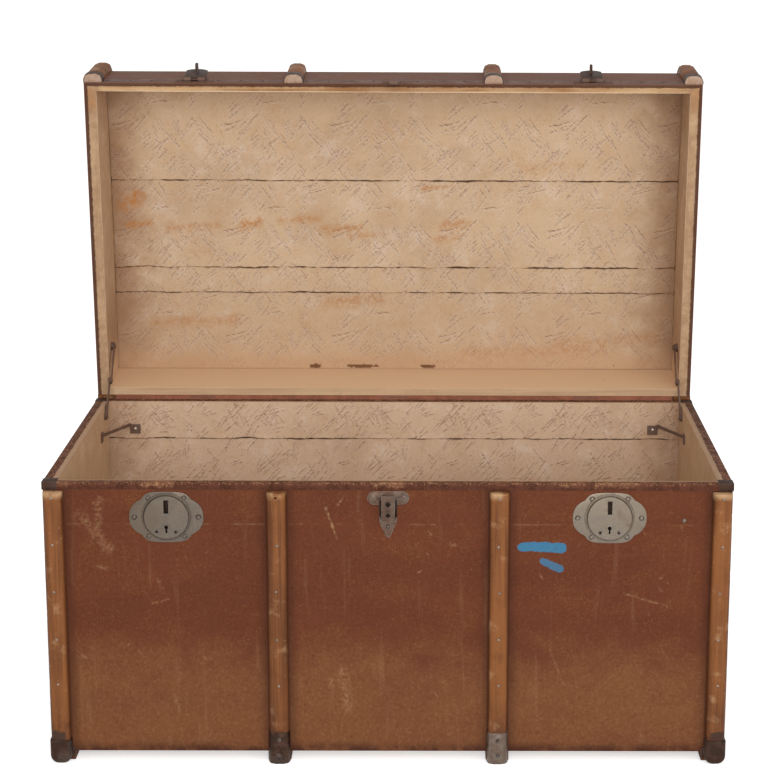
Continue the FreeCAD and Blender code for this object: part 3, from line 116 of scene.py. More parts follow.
class TrunkColours(bpy.types.PropertyGroup):
    """Colours of the trunk's finishes"""

    canvas: colour("Canvas", "Painted canvas", 97, 48, 25)
    canvas_worn: colour("Worn canvas", "Canvas where the paint is rubbed thin", 126, 82, 48)
    # Grime of the canvas, the runners and the tape; beside the battens it is also painted shade.
    canvas_dirt_and_shade: colour("Canvas dirt and shade", "Grime beside the battens", 66, 33, 20)
    batten: colour("Batten", "Varnished batten", 131, 80, 41)
    batten_dark: colour("Batten grain", "Dark grain of the battens", 92, 52, 26)
    board: colour("Board", "Bare wood of the boards", 196, 160, 118)
    board_dark: colour("Board grain", "Dark grain of the boards", 146, 104, 66)
    paper: colour("Paper", "Embossed lining paper", 204, 176, 145)
    # Besides the paper's darker patches, this colour paints the shade in the strokes, the creases, the lower
    # lid and the deep chest.
    paper_shade: colour("Paper grime and shade", "Dirt in the paper's strokes", 150, 114, 84)
    wall: colour("Wall paper", "Plain paper of the chest's front, ends and floor", 218, 187, 151)
    lid_wall: colour("Lid wall paper", "Plain paper of the lid's inner walls", 248, 220, 186)
    rim_inside: colour("Inner rim", "Inner part of the chest's rim", 158, 127, 100)
    chest_paper: colour("Chest paper", "Embossed paper of the chest's back", 199, 171, 144)
    # The paper's colour towards its left and right ends.
    corner: colour("Corner brown", "Brown of the paper's corners", 132, 90, 60)
    stain: colour("Stain", "Rust and damp stains on the paper", 180, 120, 62)
    tape: colour("Tape", "Binding tape", 89, 48, 31)
    tape_worn: colour("Worn tape", "Binding tape rubbed through", 180, 132, 94)
    lid_tape: colour("Lid tape", "Binding tape of the lid", 104, 76, 64)
    hinge_cloth: colour("Hinge cloth", "Cloth strip over the hinge gap", 130, 74, 50)
    end_wood: colour("End wood", "Sawn ends of the lid's battens", 172, 146, 128)
    nickel: colour("Nickel", "Dull nickel of the left lock", 98, 87, 76)
    nickel_right: colour("Right nickel", "Dull nickel of the right lock", 117, 106, 93)
    stay: colour("Stays", "Brown matt steel of stays, hinges and hasp bases", 98, 72, 58)
    steel: colour("Aged steel", "Steel of the bracket rivets", 88, 74, 63)
    catch: colour("Catch", "Steel of the centre catch", 96, 80, 68)
    steel_bright: colour("Bright steel", "Steel of the nail heads", 132, 120, 108)
    dark_steel: colour("Dark steel", "Browned steel of the hasps, handles and tacks", 66, 49, 41)
    toe_dark: colour("Dark toe caps", "Rusty steel of the toe caps and rim corners", 54, 39, 31)
    toe_light: colour("Light toe caps", "Steel of the right middle toe cap", 112, 100, 90)
    # Painted shade in holes and beside the catch's lever, and the dark rings round nails, rivets and screws.
    hole: colour("Old dirt", "Dirt in holes and round nails", 40, 26, 20)
    rust: colour("Rust", "Rust on the steel", 88, 54, 36)
    daub: colour("Daub", "Blue daub of paint on the front", 52, 116, 150)
    floor: colour("Floor", "Studio floor", 244, 244, 244)


def sizes():
    return bpy.context.scene.trunk_sizes


def colours():
    return bpy.context.scene.trunk_colours


# ---- places taken from the frame ------------------------------------------------------

def joint(name):
    return next(entry for entry in frame["joints"] if entry["name"] == name)


LID_HINGE = joint("lid_hinge")
HINGE = Vector(LID_HINGE["pos_m"])
LID_OPENING = math.radians(max(LID_HINGE["range_deg"]))
LID_TURN = Matrix.Translation(HINGE) @ Matrix.Rotation(-LID_OPENING, 4, "X")
LID_TURN = LID_TURN @ Matrix.Translation(-HINGE)
CHEST_LOW, CHEST_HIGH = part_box("chest_canvas")
FRONT, BACK = CHEST_LOW.y, CHEST_HIGH.y
INSIDE_LOW, INSIDE_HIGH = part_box("chest_lining")
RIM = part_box("chest_rim_tape")[1].z
LID_RIM_CLOSED = RIM + 0.0012
FLOOR_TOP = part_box("chest_floor_boards")[1].z


def opened(point):
    """Where a point of the closed lid stands on the open lid."""
    return LID_TURN @ Vector(point)


def solid_boxes(node, turn=None):
    """Lowest and highest corner of each separate solid of a CAD node, sorted by x, y and z."""
    mesh = frame["nodes"][node].data
    owner = {}
    groups = []
    for face in mesh.polygons:
        keys = {tuple(round(c, 6) for c in mesh.vertices[i].co) for i in face.vertices}
        met = {id(owner[key]): owner[key] for key in keys if key in owner}
        merged = set(keys)
        for group in met.values():
            merged |= group
            groups.remove(group)
        groups.append(merged)
        for key in merged:
            owner[key] = merged
    boxes = []
    for group in groups:
        points = [turn @ Vector(key) if turn else Vector(key) for key in group]
        low = Vector([min(p[i] for p in points) for i in range(3)])
        high = Vector([max(p[i] for p in points) for i in range(3)])
        boxes.append((low, high))
    return sorted(boxes, key=lambda box: tuple(round(c, 4) for c in box[0]))


def centre(box):
    return (box[0] + box[1]) / 2


RIM_FACE = opened((0, FRONT, LID_RIM_CLOSED)).y
BATTEN_SOLIDS = [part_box(f"front_batten_{place}") for place in (
    "left", "middle_left", "middle_right", "right",
)]
BATTEN_PLACES = [centre(box).x for box in BATTEN_SOLIDS]
PLANK_JOINTS = sorted(box[1].y for box in solid_boxes("lid_top_planks", LID_TURN.inverted()))[:-1]
BACK_CRACK = RIM - 0.0648


# ---- mesh tools -----------------------------------------------------------------------

def pick_only(piece):
    """Makes one object the only selected and the active one."""
    bpy.ops.object.select_all(action="DESELECT")
    piece.select_set(True)
    bpy.context.view_layer.objects.active = piece


def settle(piece):
    """Puts the object's place, turn and scale into its mesh."""
    pick_only(piece)
    bpy.ops.object.transform_apply(location=True, rotation=True, scale=True)
    return piece


def named(name):
    piece = bpy.context.object
    piece.name = piece.data.name = name
    return piece


def shape(piece, kind, test, *steps):
    """Edit mode: selects the faces, edges or vertices that pass a test, then runs the steps."""
    pick_only(piece)
    bpy.ops.object.mode_set(mode="EDIT")
    bpy.ops.mesh.select_mode(type=kind)
    bpy.ops.mesh.select_all(action="DESELECT")
    mesh = bmesh.from_edit_mesh(piece.data)
    elements = {"FACE": mesh.faces, "EDGE": mesh.edges, "VERT": mesh.verts}[kind]
    for element in elements:
        if test(element):
            element.select_set(True)
    mesh.select_flush_mode()
    bmesh.update_edit_mesh(piece.data)
    for step in steps:
        step()
    bpy.ops.object.mode_set(mode="OBJECT")
    return piece


def everything(_element):
    return True


NEAR = 1e-5


def lies_at(element, axis, value):
    """Whether an edge or a face lies wholly at one x, y or z; the axis is 0, 1 or 2."""
    return all(abs(vertex.co[axis] - value) < NEAR for vertex in element.verts)


def bevelled(piece, test, offset, segments):
    """Rounds the edges that pass a test."""
    return shape(
        piece, "EDGE", test, lambda: bpy.ops.mesh.bevel(offset=offset, segments=segments, affect="EDGES"),
    )


def closed_behind(piece, depth):
    """Draws a sheet's border back and closes it with one face."""
    return shape(
        piece, "EDGE", lambda edge: edge.is_boundary,
        lambda: bpy.ops.mesh.extrude_edges_move(TRANSFORM_OT_translate={"value": depth}),
        lambda: bpy.ops.mesh.edge_face_add(),
    )


def node_surface(node):
    """The surface of a CAD node, to cast rays at."""
    mesh = frame["nodes"][node].data
    return BVHTree.FromPolygons([v.co for v in mesh.vertices], [face.vertices for face in mesh.polygons])


def block(name, low, high):
    """A box between two corners, settled at its place."""
    bpy.ops.object.select_all(action="DESELECT")
    bpy.ops.mesh.primitive_cube_add(size=1, location=(Vector(low) + Vector(high)) / 2)
    piece = named(name)
    piece.scale = Vector(high) - Vector(low)
    return settle(piece)


def modify(piece, kind, **settings):
    """Adds a modifier and applies it."""
    pick_only(piece)
    modifier = piece.modifiers.new(kind.title(), kind)
    for key, value in settings.items():
        setattr(modifier, key, value)
    bpy.ops.object.modifier_apply(modifier=modifier.name)
    return piece


def smooth(piece, degrees=35):
    pick_only(piece)
    bpy.ops.object.shade_smooth_by_angle(angle=math.radians(degrees))
    return piece


def outward(piece):
    """Turns every face of a closed mesh outwards."""
    return shape(piece, "FACE", everything, lambda: bpy.ops.mesh.normals_make_consistent(inside=False))


def copies(name, pattern, places):
    """One piece that holds a copy of the pattern at each place; a place is a matrix."""
    made = []
    for place in places:
        copy = pattern.copy()
        copy.data = pattern.data.copy()
        bpy.context.scene.collection.objects.link(copy)
        copy.data.transform(place)
        made.append(copy)
    bpy.data.objects.remove(pattern)
    return joined(name, made)


def joined(name, pieces):
    """One piece made of several."""
    bpy.ops.object.select_all(action="DESELECT")
    for piece in pieces:
        piece.select_set(True)
    bpy.context.view_layer.objects.active = pieces[0]
    if len(pieces) > 1:
        bpy.ops.object.join()
    return named(name)


def finish(piece, body, slot, material, *nodes):
    """Gives a piece its material and body, and hides the CAD nodes that it stands for; the slot is not used.
    """
    piece.data.materials.clear()
    piece.data.materials.append(material)
    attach(piece, body)
    if nodes:
        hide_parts(*nodes)
    return piece


SHARP_EDGE = math.radians(28)


def softened(node, width, segments=2):
    """A copy of a CAD piece, merged and cleaned, with its sharp edges rounded."""
    source = frame["nodes"][node]
    piece = bpy.data.objects.new(f"{node}_finished", source.data.copy())
    bpy.context.scene.collection.objects.link(piece)
    shape(
        piece, "VERT", everything,
        lambda: bpy.ops.mesh.remove_doubles(threshold=2e-6),
        lambda: bpy.ops.mesh.dissolve_limited(angle_limit=math.radians(1)),
    )
    if piece.data.has_custom_normals:
        pick_only(piece)
        bpy.ops.mesh.customdata_custom_splitnormals_clear()
    modify(
        piece, "BEVEL", width=width, segments=segments, limit_method="ANGLE",
        angle_limit=SHARP_EDGE, use_clamp_overlap=True,
    )
    return smooth(piece, 40)


def facing(direction, point, spin=0):
    """A matrix that stands a pattern drawn along +Z on a surface that faces a direction."""
    turn = Vector((0, 0, 1)).rotation_difference(Vector(direction)).to_matrix().to_4x4()
    return Matrix.Translation(point) @ turn @ Matrix.Rotation(spin, 4, "Z")


def dome(radius, rise):
    """A domed nail or rivet head of a few dozen faces, with its flat side on z = 0."""
    bpy.ops.object.select_all(action="DESELECT")
    bpy.ops.mesh.primitive_uv_sphere_add(segments=12, ring_count=8, radius=1)
    head = named("head")
    shape(
        head, "VERT", everything,
        lambda: bpy.ops.mesh.bisect(
            plane_co=(0, 0, 0.18), plane_no=(0, 0, 1), clear_inner=True, use_fill=True,
        ),
    )
    lowest = min(vertex.co.z for vertex in head.data.vertices)
    head.data.transform(Matrix.Translation((0, 0, -lowest)))
    head.data.transform(Matrix.Diagonal((radius, radius, rise / (1 - lowest), 1)))
    return smooth(head, 60)


# ---- shader tools ---------------------------------------------------------------------

class Shader:
    """Adds nodes to a material or a group, each linked to what feeds it."""

    def __init__(self, tree):
        self.tree = tree
        self.count = 0

    def add(self, kind, inputs=None, **settings):
        node = self.tree.nodes.new(kind)
        node.location = (180 * (self.count % 9), -220 * (self.count // 9))
        self.count += 1
        for key, value in settings.items():
            setattr(node, key, value)
        for key, value in (inputs or {}).items():
            self.feed(node.inputs[key], value)
        return node

    def feed(self, socket, value):
        if isinstance(value, bpy.types.NodeSocket):
            self.tree.links.new(value, socket)
        else:
            socket.default_value = value

    def math(self, operation, first, second=0.0):
        node = self.add("ShaderNodeMath", operation=operation)
        for socket, value in zip(node.inputs, (first, second)):
            self.feed(socket, value)
        return node.outputs[0]

    def times(self, first, second):
        return self.math("MULTIPLY", first, second)

    def plus(self, first, second):
        return self.math("ADD", first, second)

    def minus(self, first, second):
        return self.math("SUBTRACT", first, second)

    def larger(self, first, second):
        return self.math("MAXIMUM", first, second)

    def away(self, value, middle):
        """How far a value lies from a middle one, to either side."""
        return self.math("ABSOLUTE", self.minus(value, middle))

    def dot(self, first, second):
        return self.add("ShaderNodeVectorMath", {0: first, 1: second}, operation="DOT_PRODUCT").outputs[1]

    def step(self, value, low, high, start=0.0, end=1.0):
        """A smooth rise from start to end while the value goes from low to high."""
        inputs = {"Value": value, "From Min": low, "From Max": high, "To Min": start, "To Max": end}
        return self.add("ShaderNodeMapRange", inputs, interpolation_type="SMOOTHSTEP").outputs[0]

    def mix(self, factor, first, second):
        node = self.add("ShaderNodeMix", data_type="RGBA")
        self.feed(node.inputs[0], factor)
        self.feed(node.inputs[6], first)
        self.feed(node.inputs[7], second)
        return node.outputs[2]

    def noise(self, vector, scale, detail=4.0, roughness=0.55, distortion=0.0):
        inputs = {"Vector": vector, "Scale": scale, "Detail": detail, "Roughness": roughness,
                  "Distortion": distortion}
        return self.add("ShaderNodeTexNoise", inputs).outputs[0]

    def place(self, vector, scale=(1, 1, 1), rotation=(0, 0, 0)):
        inputs = {"Vector": vector, "Scale": scale, "Rotation": rotation}
        return self.add("ShaderNodeMapping", inputs).outputs[0]

    def axes(self, vector):
        return self.add("ShaderNodeSeparateXYZ", {"Vector": vector}).outputs

    def use(self, group, **inputs):
        """Places a shared node group; the inputs are named as its sockets."""
        node = self.add("ShaderNodeGroup", node_tree=group)
        for key, value in inputs.items():
            self.feed(node.inputs[key.replace("_", " ")], value)
        return node.outputs

    def attribute(self, name):
        return self.add("ShaderNodeAttribute", attribute_name=name).outputs["Fac"]

    def bump(self, height, distance, strength):
        return self.add("ShaderNodeBump", {"Height": height, "Distance": distance,
                                           "Strength": strength}).outputs[0]


def new_material(name):
    """A cleared material: its shader tools, its Principled shader and Object coordinates."""
    material = bpy.data.materials.new(name)
    material.use_nodes = True
    material.node_tree.nodes.clear()
    tools = Shader(material.node_tree)
    coordinates = tools.add("ShaderNodeTexCoord").outputs["Object"]
    principled = tools.add("ShaderNodeBsdfPrincipled")
    tools.add("ShaderNodeOutputMaterial", {"Surface": principled.outputs[0]})
    return material, tools, principled, coordinates


def coat(tools, shader, colour, rough, height, depth=0.0010, strength=0.6, specular=0.5):
    """Feeds a finish to its shader; depth and strength are those of the bumps."""
    tools.feed(shader.inputs["Base Color"], colour)
    tools.feed(shader.inputs["Roughness"], rough)
    tools.feed(shader.inputs["Normal"], tools.bump(height, depth, strength))
    shader.inputs["Specular IOR Level"].default_value = specular


def new_group(name, inputs, outputs):
    """A shader node group with named sockets, its tools and its two ends."""
    tree = bpy.data.node_groups.new(name, "ShaderNodeTree")
    kinds = {float: "NodeSocketFloat", tuple: "NodeSocketVector", list: "NodeSocketColor"}
    for label, default in inputs.items():
        socket = tree.interface.new_socket(label, in_out="INPUT", socket_type=kinds[type(default)])
        socket.default_value = default
    for label, kind in outputs.items():
        tree.interface.new_socket(label, in_out="OUTPUT", socket_type=kinds[kind])
    tools = Shader(tree)
    return tree, tools, tools.add("NodeGroupInput").outputs, tools.add("NodeGroupOutput").inputs


def group(name, make):
    """The shared node group of that name, made on first use."""
    return bpy.data.node_groups.get(name) or make(name)


def make_strokes(name):
    """Thin lines with one direction: the level lines of a stretched noise."""
    inputs = {"Vector": (0.0, 0.0, 0.0), "Turn": (0.0, 0.0, 0.0), "Stretch": (1.0, 1.0, 1.0),
              "Scale": 60.0, "Width": 0.02, "Patches": 0.5}
    tree, tools, given, result = new_group(name, inputs, {"Mask": float})
    turned = tools.add("ShaderNodeVectorRotate", {"Vector": given["Vector"],
                                                  "Rotation": given["Turn"]}, rotation_type="EULER_XYZ")
    stretched = tools.add("ShaderNodeVectorMath", {0: turned.outputs[0], 1: given["Stretch"]},
                          operation="MULTIPLY").outputs[0]
    field = tools.noise(stretched, given["Scale"], 1.0, 0.4)
    off = tools.away(field, 0.5)
    line = tools.minus(1.0, tools.math("DIVIDE", off, given["Width"]))
    line = tools.larger(line, 0.0)
    patches = tools.noise(given["Vector"], 14.0, 2.0)
    kept = tools.step(patches, given["Patches"], tools.plus(given["Patches"], 0.06))
    tools.feed(result["Mask"], tools.times(line, kept))
    return tree


def make_mark(name):
    """A soft, ragged mark from Start to End, such as a scratch, a scuff or a dab of paint."""
    inputs = {"Vector": (0.0, 0.0, 0.0), "Start": (0.0, 0.0, 0.0), "End": (0.0, 0.0, 0.0),
              "Radius": 0.005, "Softness": 0.002, "Raggedness": 0.002, "Grain": 90.0}
    tree, tools, given, result = new_group(name, inputs, {"Mask": float})

    def vector_math(operation, *values):
        node = tools.add("ShaderNodeVectorMath", operation=operation)
        for socket, value in zip(node.inputs, values):
            tools.feed(socket, value)
        return node.outputs[1] if operation in ("DOT_PRODUCT", "LENGTH") else node.outputs[0]

    along = vector_math("SUBTRACT", given["End"], given["Start"])
    to_point = vector_math("SUBTRACT", given["Vector"], given["Start"])
    share = tools.math(
        "DIVIDE", vector_math("DOT_PRODUCT", to_point, along), vector_math("DOT_PRODUCT", along, along),
    )
    share = tools.math("MINIMUM", tools.larger(share, 0.0), 1.0)
    scaled = tools.add("ShaderNodeVectorMath", {0: along, "Scale": share}, operation="SCALE").outputs[0]
    distance = vector_math("LENGTH", vector_math("SUBTRACT", to_point, scaled))
    uneven = tools.minus(tools.noise(given["Vector"], given["Grain"], 4.0, 0.65), 0.5)
    distance = tools.plus(distance, tools.times(uneven, tools.times(given["Raggedness"], 2.0)))
    past = tools.minus(distance, given["Radius"])
    mask = tools.minus(1.0, tools.math("DIVIDE", past, given["Softness"]))
    tools.feed(result["Mask"], tools.add("ShaderNodeClamp", {"Value": mask}).outputs[0])
    return tree


def marked(tools, where, start, end, radius, softness, raggedness, grain):
    """The mask of one mark between two points."""
    return tools.use(
        group("Mark", make_mark), Vector=where, Start=start, End=end, Radius=radius, Softness=softness,
        Raggedness=raggedness, Grain=grain,
    )[0]


def make_grain(name):
    """Wood grain along Z: a colour and a height."""
    inputs = {"Vector": (0.0, 0.0, 0.0), "Light": [0.5, 0.3, 0.1, 1.0], "Dark": [0.2, 0.1, 0.0, 1.0]}
    tree, tools, given, result = new_group(name, inputs, {"Color": list, "Height": float})
    where = given["Vector"]
    broad = tools.noise(tools.place(where, (60, 60, 3.2)), 1.0, 3.0, 0.5, 0.6)
    fine = tools.noise(tools.place(where, (420, 420, 9)), 1.0, 5.0, 0.6, 0.3)
    clouds = tools.noise(where, 9.0, 3.0)
    share = tools.plus(tools.times(broad, 0.5), tools.plus(tools.times(fine, 0.35), tools.times(clouds, 0.2)))
    dark = tools.step(share, 0.42, 0.66)
    tools.feed(result["Color"], tools.mix(dark, given["Light"], given["Dark"]))
    tools.feed(result["Height"], tools.minus(1.0, fine))
    return tree


def make_rub(name):
    """Where an outer edge is rubbed: high where the surface turns a corner."""
    inputs = {"Radius": 0.002, "Vector": (0.0, 0.0, 0.0), "Breakup": 60.0}
    tree, tools, given, result = new_group(name, inputs, {"Mask": float})
    rounded = tools.add("ShaderNodeBevel", {"Radius": given["Radius"]}, samples=6).outputs[0]
    plain = tools.add("ShaderNodeNewGeometry").outputs["Normal"]
    edge = tools.step(tools.dot(rounded, plain), 0.99, 0.86)
    broken = tools.step(tools.noise(given["Vector"], given["Breakup"], 5.0, 0.65), 0.38, 0.62)
    tools.feed(result["Mask"], tools.times(edge, broken))
    return tree


def make_tarnish(name):
    """Blotches, specks and fine scratches of old metal."""
    inputs = {"Vector": (0.0, 0.0, 0.0), "Scale": 30.0, "Amount": 0.5}
    tree, tools, given, result = new_group(name, inputs, {"Blotches": float, "Specks": float,
                                                          "Scratches": float})
    broad = tools.noise(given["Vector"], given["Scale"], 6.0, 0.62, 0.4)
    low = tools.minus(0.78, tools.times(given["Amount"], 0.4))
    tools.feed(result["Blotches"], tools.step(broad, low, tools.plus(low, 0.16)))
    specks = tools.noise(given["Vector"], tools.times(given["Scale"], 22.0), 2.0, 0.5)
    tools.feed(result["Specks"], tools.step(specks, 0.63, 0.74))
    lines = []
    for turn in (0.5, 1.9, 2.7):
        lines.append(tools.use(
            group("Strokes", make_strokes), Vector=given["Vector"], Turn=(0, turn, 0.4),
            Stretch=(0.06, 1, 1), Scale=900.0, Width=0.02, Patches=0.5,
        )[0])
    tools.feed(result["Scratches"], tools.larger(lines[0], tools.larger(lines[1], lines[2])))
    return tree


# ---- finishes -------------------------------------------------------------------------

DAMAGE = {
    # start, end (x and z on the front), half width, strength of a spot rubbed through the paint
    "long_scratch": ((-0.0905, 0.391), (-0.0755, 0.347), 0.0008, 0.4125),
    "short_scratch": ((-0.064, 0.409), (-0.072, 0.397), 0.0006, 0.33),
    "left_scrape": ((-0.446, 0.378), (-0.407, 0.330), 0.0045, 0.22),
    "left_rub": ((-0.420, 0.400), (-0.425, 0.345), 0.0040, 0.1925),
    "left_hook": ((-0.427, 0.303), (-0.409, 0.299), 0.0014, 0.22),
    "right_chip": ((0.424, 0.366), (0.427, 0.365), 0.0012, 0.275),
    "middle_chip": ((0.091, 0.336), (0.097, 0.335), 0.0012, 0.22),
    "lower_scratch": ((0.345, 0.262), (0.408, 0.243), 0.0006, 0.2475),
    "low_nick": ((-0.316, 0.103), (-0.309, 0.078), 0.0012, 0.1925),
    "corner_scratch": ((0.235, 0.182), (0.262, 0.115), 0.0006, 0.165),
    "middle_smear": ((-0.068, 0.142), (-0.060, 0.082), 0.0040, 0.231),
    "middle_smear_two": ((-0.085, 0.128), (-0.083, 0.108), 0.0022, 0.1925),
    "panel_nick": ((-0.336, 0.282), (-0.330, 0.262), 0.0014, 0.165),
    "panel_nick_two": ((-0.345, 0.246), (-0.322, 0.252), 0.0008, 0.1925),
}
SCUFF_HEIGHT, SCUFF_HALF = 0.3665, 0.0024
DABS = {
    # start, end, radius, strength of a dab of blue paint
    "upper": ((0.196, 0.3335), (0.253, 0.3310), 0.0064, 0.9),
    "lower": ((0.226, 0.3110), (0.250, 0.2990), 0.0052, 0.72),
}


def on_front(x, z):
    """A point of the chest's front."""
    return x, FRONT, z


def canvas_material(name, chest):
    """Brown paint on woven canvas: mottled, rubbed pale low down, with grime and painted shade beside the
    battens, and a painted sheen on the lid's front wall.
    """
    material, tools, shader, where = new_material(name)
    palette = colours()
    x, y, z = tools.axes(where)
    clouds = tools.noise(tools.place(where, (1, 1, 2.2)), 6.5, 5.0, 0.62)
    mottle = tools.noise(where, 26.0, 6.0, 0.7)
    fine = tools.noise(where, 210.0, 5.0, 0.75)
    grit = tools.noise(where, 760.0, 3.0, 0.65)
    deep = tools.mix(0.22, palette.canvas, palette.canvas_dirt_and_shade)
    colour = tools.mix(tools.step(clouds, 0.40, 0.62), palette.canvas, deep)
    low = tools.step(z, 0.235, 0.10) if chest else 0.2
    worn = tools.plus(low, tools.times(tools.minus(mottle, 0.5), 1.5))
    worn = tools.step(tools.plus(worn, tools.times(tools.minus(0.5, clouds), 0.9)), -0.1, 1.25)
    colour = tools.mix(tools.times(worn, 0.58), colour, palette.canvas_worn)
    rubbed = tools.times(tools.step(fine, 0.50, 0.68), tools.plus(tools.times(worn, 0.12), 0.07))
    colour = tools.mix(rubbed, colour, tools.mix(0.5, palette.canvas_worn, palette.board))
    pits = tools.step(fine, 0.44, 0.32)
    colour = tools.mix(tools.times(pits, 0.45), colour, palette.canvas_dirt_and_shade)
    dust = tools.times(tools.step(grit, 0.58, 0.70), tools.step(mottle, 0.42, 0.62, 0.04, 0.24))
    colour = tools.mix(dust, colour, palette.board)
    streaks = tools.noise(tools.place(where, (60, 60, 5)), 1.0, 4.0, 0.6)
    colour = tools.mix(tools.times(tools.step(streaks, 0.56, 0.74), 0.07), colour, palette.board)
    brushed = 0.0
    for turn in (0.5, 2.2):
        stretched = tools.place(tools.place(where, rotation=(0, turn, 0)), (34, 150, 150))
        field = tools.noise(stretched, 1.0, 3.0, 0.6)
        brushed = tools.larger(brushed, tools.step(field, 0.66, 0.78))
    patches = tools.step(tools.noise(where, 9.0, 3.0), 0.52, 0.66)
    damage = tools.times(tools.times(brushed, patches), 0.34)
    if chest:
        front = tools.step(y, FRONT + 0.02, FRONT + 0.01)
        for start, end, radius, strength in DAMAGE.values():
            softness, raggedness = radius * 2.4 + 0.0008, radius * 2.6 + 0.0014
            mark = marked(tools, where, on_front(*start), on_front(*end), 0.0, softness, raggedness, 150.0)
            broken = tools.times(mark, tools.step(fine, 0.40, 0.60, 0.1, 1.0))
            damage = tools.larger(damage, tools.times(broken, strength))
        scuff = tools.step(tools.away(z, SCUFF_HEIGHT), SCUFF_HALF, 0.0)
        scuff = tools.times(scuff, tools.step(mottle, 0.44, 0.62))
        damage = tools.times(tools.larger(damage, tools.times(scuff, 0.13)), front)
    colour = tools.mix(damage, colour, palette.board)
    if not chest:
        # Painted sheen: the lid's front wall, which faces up when the lid is open, is tinted toward the lid
        # tape's pinkish grey as a painted reflection of the bright surroundings.
        colour = tools.mix(tools.step(z, 0.93, 0.95, 0.0, 0.32), colour, palette.lid_tape)
    if chest:
        # Beside each batten: a narrow dark line at its edge, which is painted shade, and a wider patchy band
        # that is partly grime and partly painted shade.
        for place in BATTEN_PLACES:
            side = tools.away(x, place)
            wide = tools.times(tools.step(side, 0.034, 0.0150), tools.step(mottle, 0.3, 0.6, 0.2, 0.55))
            close = tools.step(side, 0.0185, 0.0155, 0.0, 0.75)
            colour = tools.mix(tools.larger(wide, close), colour, palette.canvas_dirt_and_shade)
        for start, end, radius, strength in DABS.values():
            mark = marked(tools, where, on_front(*start), on_front(*end), radius, 0.0014, 0.006, 42.0)
            kept = tools.step(fine, 0.30, 0.44, 0.35, 1.0)
            colour = tools.mix(tools.times(mark, tools.times(kept, strength)), colour, palette.daub)
        foot = tools.times(tools.step(z, 0.034, 0.016), tools.step(mottle, 0.40, 0.56, 0.3, 0.95))
        colour = tools.mix(foot, colour, palette.canvas_dirt_and_shade)
    threads = [
        tools.math("SINE", tools.plus(tools.times(axis, 5200.0), tools.times(mottle, 5.0)))
        for axis in (x, y, z)
    ]
    weave = tools.plus(threads[0], tools.plus(threads[1], threads[2]))
    height = tools.plus(tools.times(weave, 0.06), tools.plus(tools.times(fine, 0.6), tools.times(grit, 0.3)))
    height = tools.minus(height, tools.times(damage, 0.5))
    rough = tools.step(mottle, 0.3, 0.7, 0.62, 0.82)
    coat(tools, shader, colour, rough, height, strength=0.55, specular=0.18 if chest else 0.5)
    return material


ALONG_X, ALONG_Z = (0.0, math.radians(90), 0.0), (0.0, 0.0, 0.0)


def wood_material(name, light, dark, rubbed=0.5, gloss=0.42, along=ALONG_Z, overlay=None):
    """Varnished or bare wood with rubbed edges; overlay adds what is special to one board."""
    material, tools, shader, where = new_material(name)
    palette = colours()
    colour, height = tools.use(
        group("Grain", make_grain), Vector=tools.place(where, rotation=along), Light=light, Dark=dark,
    )
    knots = tools.noise(where, 26.0, 5.0, 0.65)
    colour = tools.mix(tools.times(tools.step(knots, 0.54, 0.72), 0.5), colour, dark)
    pale = tools.times(tools.step(knots, 0.44, 0.30), 0.35)
    colour = tools.mix(pale, colour, palette.board)
    rub = tools.use(group("Rub", make_rub), Radius=0.0022, Vector=where, Breakup=90.0)[0]
    colour = tools.mix(tools.times(rub, rubbed), colour, palette.board)
    specks = tools.step(tools.noise(where, 330.0, 4.0, 0.65), 0.60, 0.72)
    colour = tools.mix(tools.times(specks, 0.55), colour, tools.mix(0.5, dark, palette.canvas_dirt_and_shade))
    chips = tools.step(tools.noise(where, 240.0, 3.0, 0.6), 0.66, 0.74)
    colour = tools.mix(tools.times(chips, 0.4), colour, palette.board)
    if overlay:
        colour = overlay(tools, where, colour)
    coat(tools, shader, colour, tools.step(knots, 0.3, 0.7, gloss, gloss + 0.2), height, 0.0006, 0.4, 0.2)
    return material


def batten_dirt_and_shade(tools, where, colour):
    """Grime and painted shade along a chest batten's rounded sides, grime at its foot, and paler worn wood at
    its top.
    """
    palette = colours()
    x, _y, z = tools.axes(where)
    clouds = tools.noise(where, 34.0, 5.0, 0.65)
    # A dark band along each rounded side of a batten: partly grime, partly painted shade where the side turns
    # away from the lamps.
    for place in BATTEN_PLACES:
        side = tools.away(x, place)
        edge = tools.times(tools.step(side, 0.0112, 0.0145), tools.step(side, 0.0165, 0.0155))
        colour = tools.mix(tools.times(edge, 0.6), colour, palette.canvas_dirt_and_shade)
    corner = tools.step(tools.math("ABSOLUTE", x), 0.474, 0.480)
    ragged_top = tools.plus(z, tools.times(tools.noise(where, 120.0, 4.0, 0.6), 0.012))
    capped = tools.times(corner, tools.step(ragged_top, 0.058, 0.055))
    colour = tools.mix(tools.times(capped, 0.92), colour, palette.toe_dark)
    foot = tools.times(tools.step(z, 0.12, 0.03), tools.step(clouds, 0.42, 0.6, 0.1, 0.7))
    colour = tools.mix(foot, colour, palette.canvas_dirt_and_shade)
    top = BATTEN_SOLIDS[0][1].z
    worn = tools.times(tools.step(z, top - 0.012, top - 0.001), tools.step(clouds, 0.36, 0.56))
    return tools.mix(tools.times(worn, 0.7), colour, palette.board)


def end_grain(tools, where, colour):
    """The pale sawn ends of the lid's battens, which face the lid's rim."""
    palette = colours()
    facing_rim = LID_TURN.to_3x3() @ Vector((0, 0, -1))
    end = max(vertex.co.dot(facing_rim) for vertex in frame["nodes"]["lid_battens"].data.vertices)
    rings = tools.noise(tools.place(where, (190, 60, 190)), 1.0, 4.0, 0.6)
    pale = tools.mix(tools.times(tools.step(rings, 0.45, 0.65), 0.5), palette.end_wood, palette.board_dark)
    front_end = tools.step(tools.axes(where)[2], 0.70, 0.80)
    sawn = tools.step(tools.dot(where, facing_rim), end - 0.0022, end - 0.0010, 0.0, 0.9)
    return tools.mix(tools.times(sawn, front_end), colour, pale)


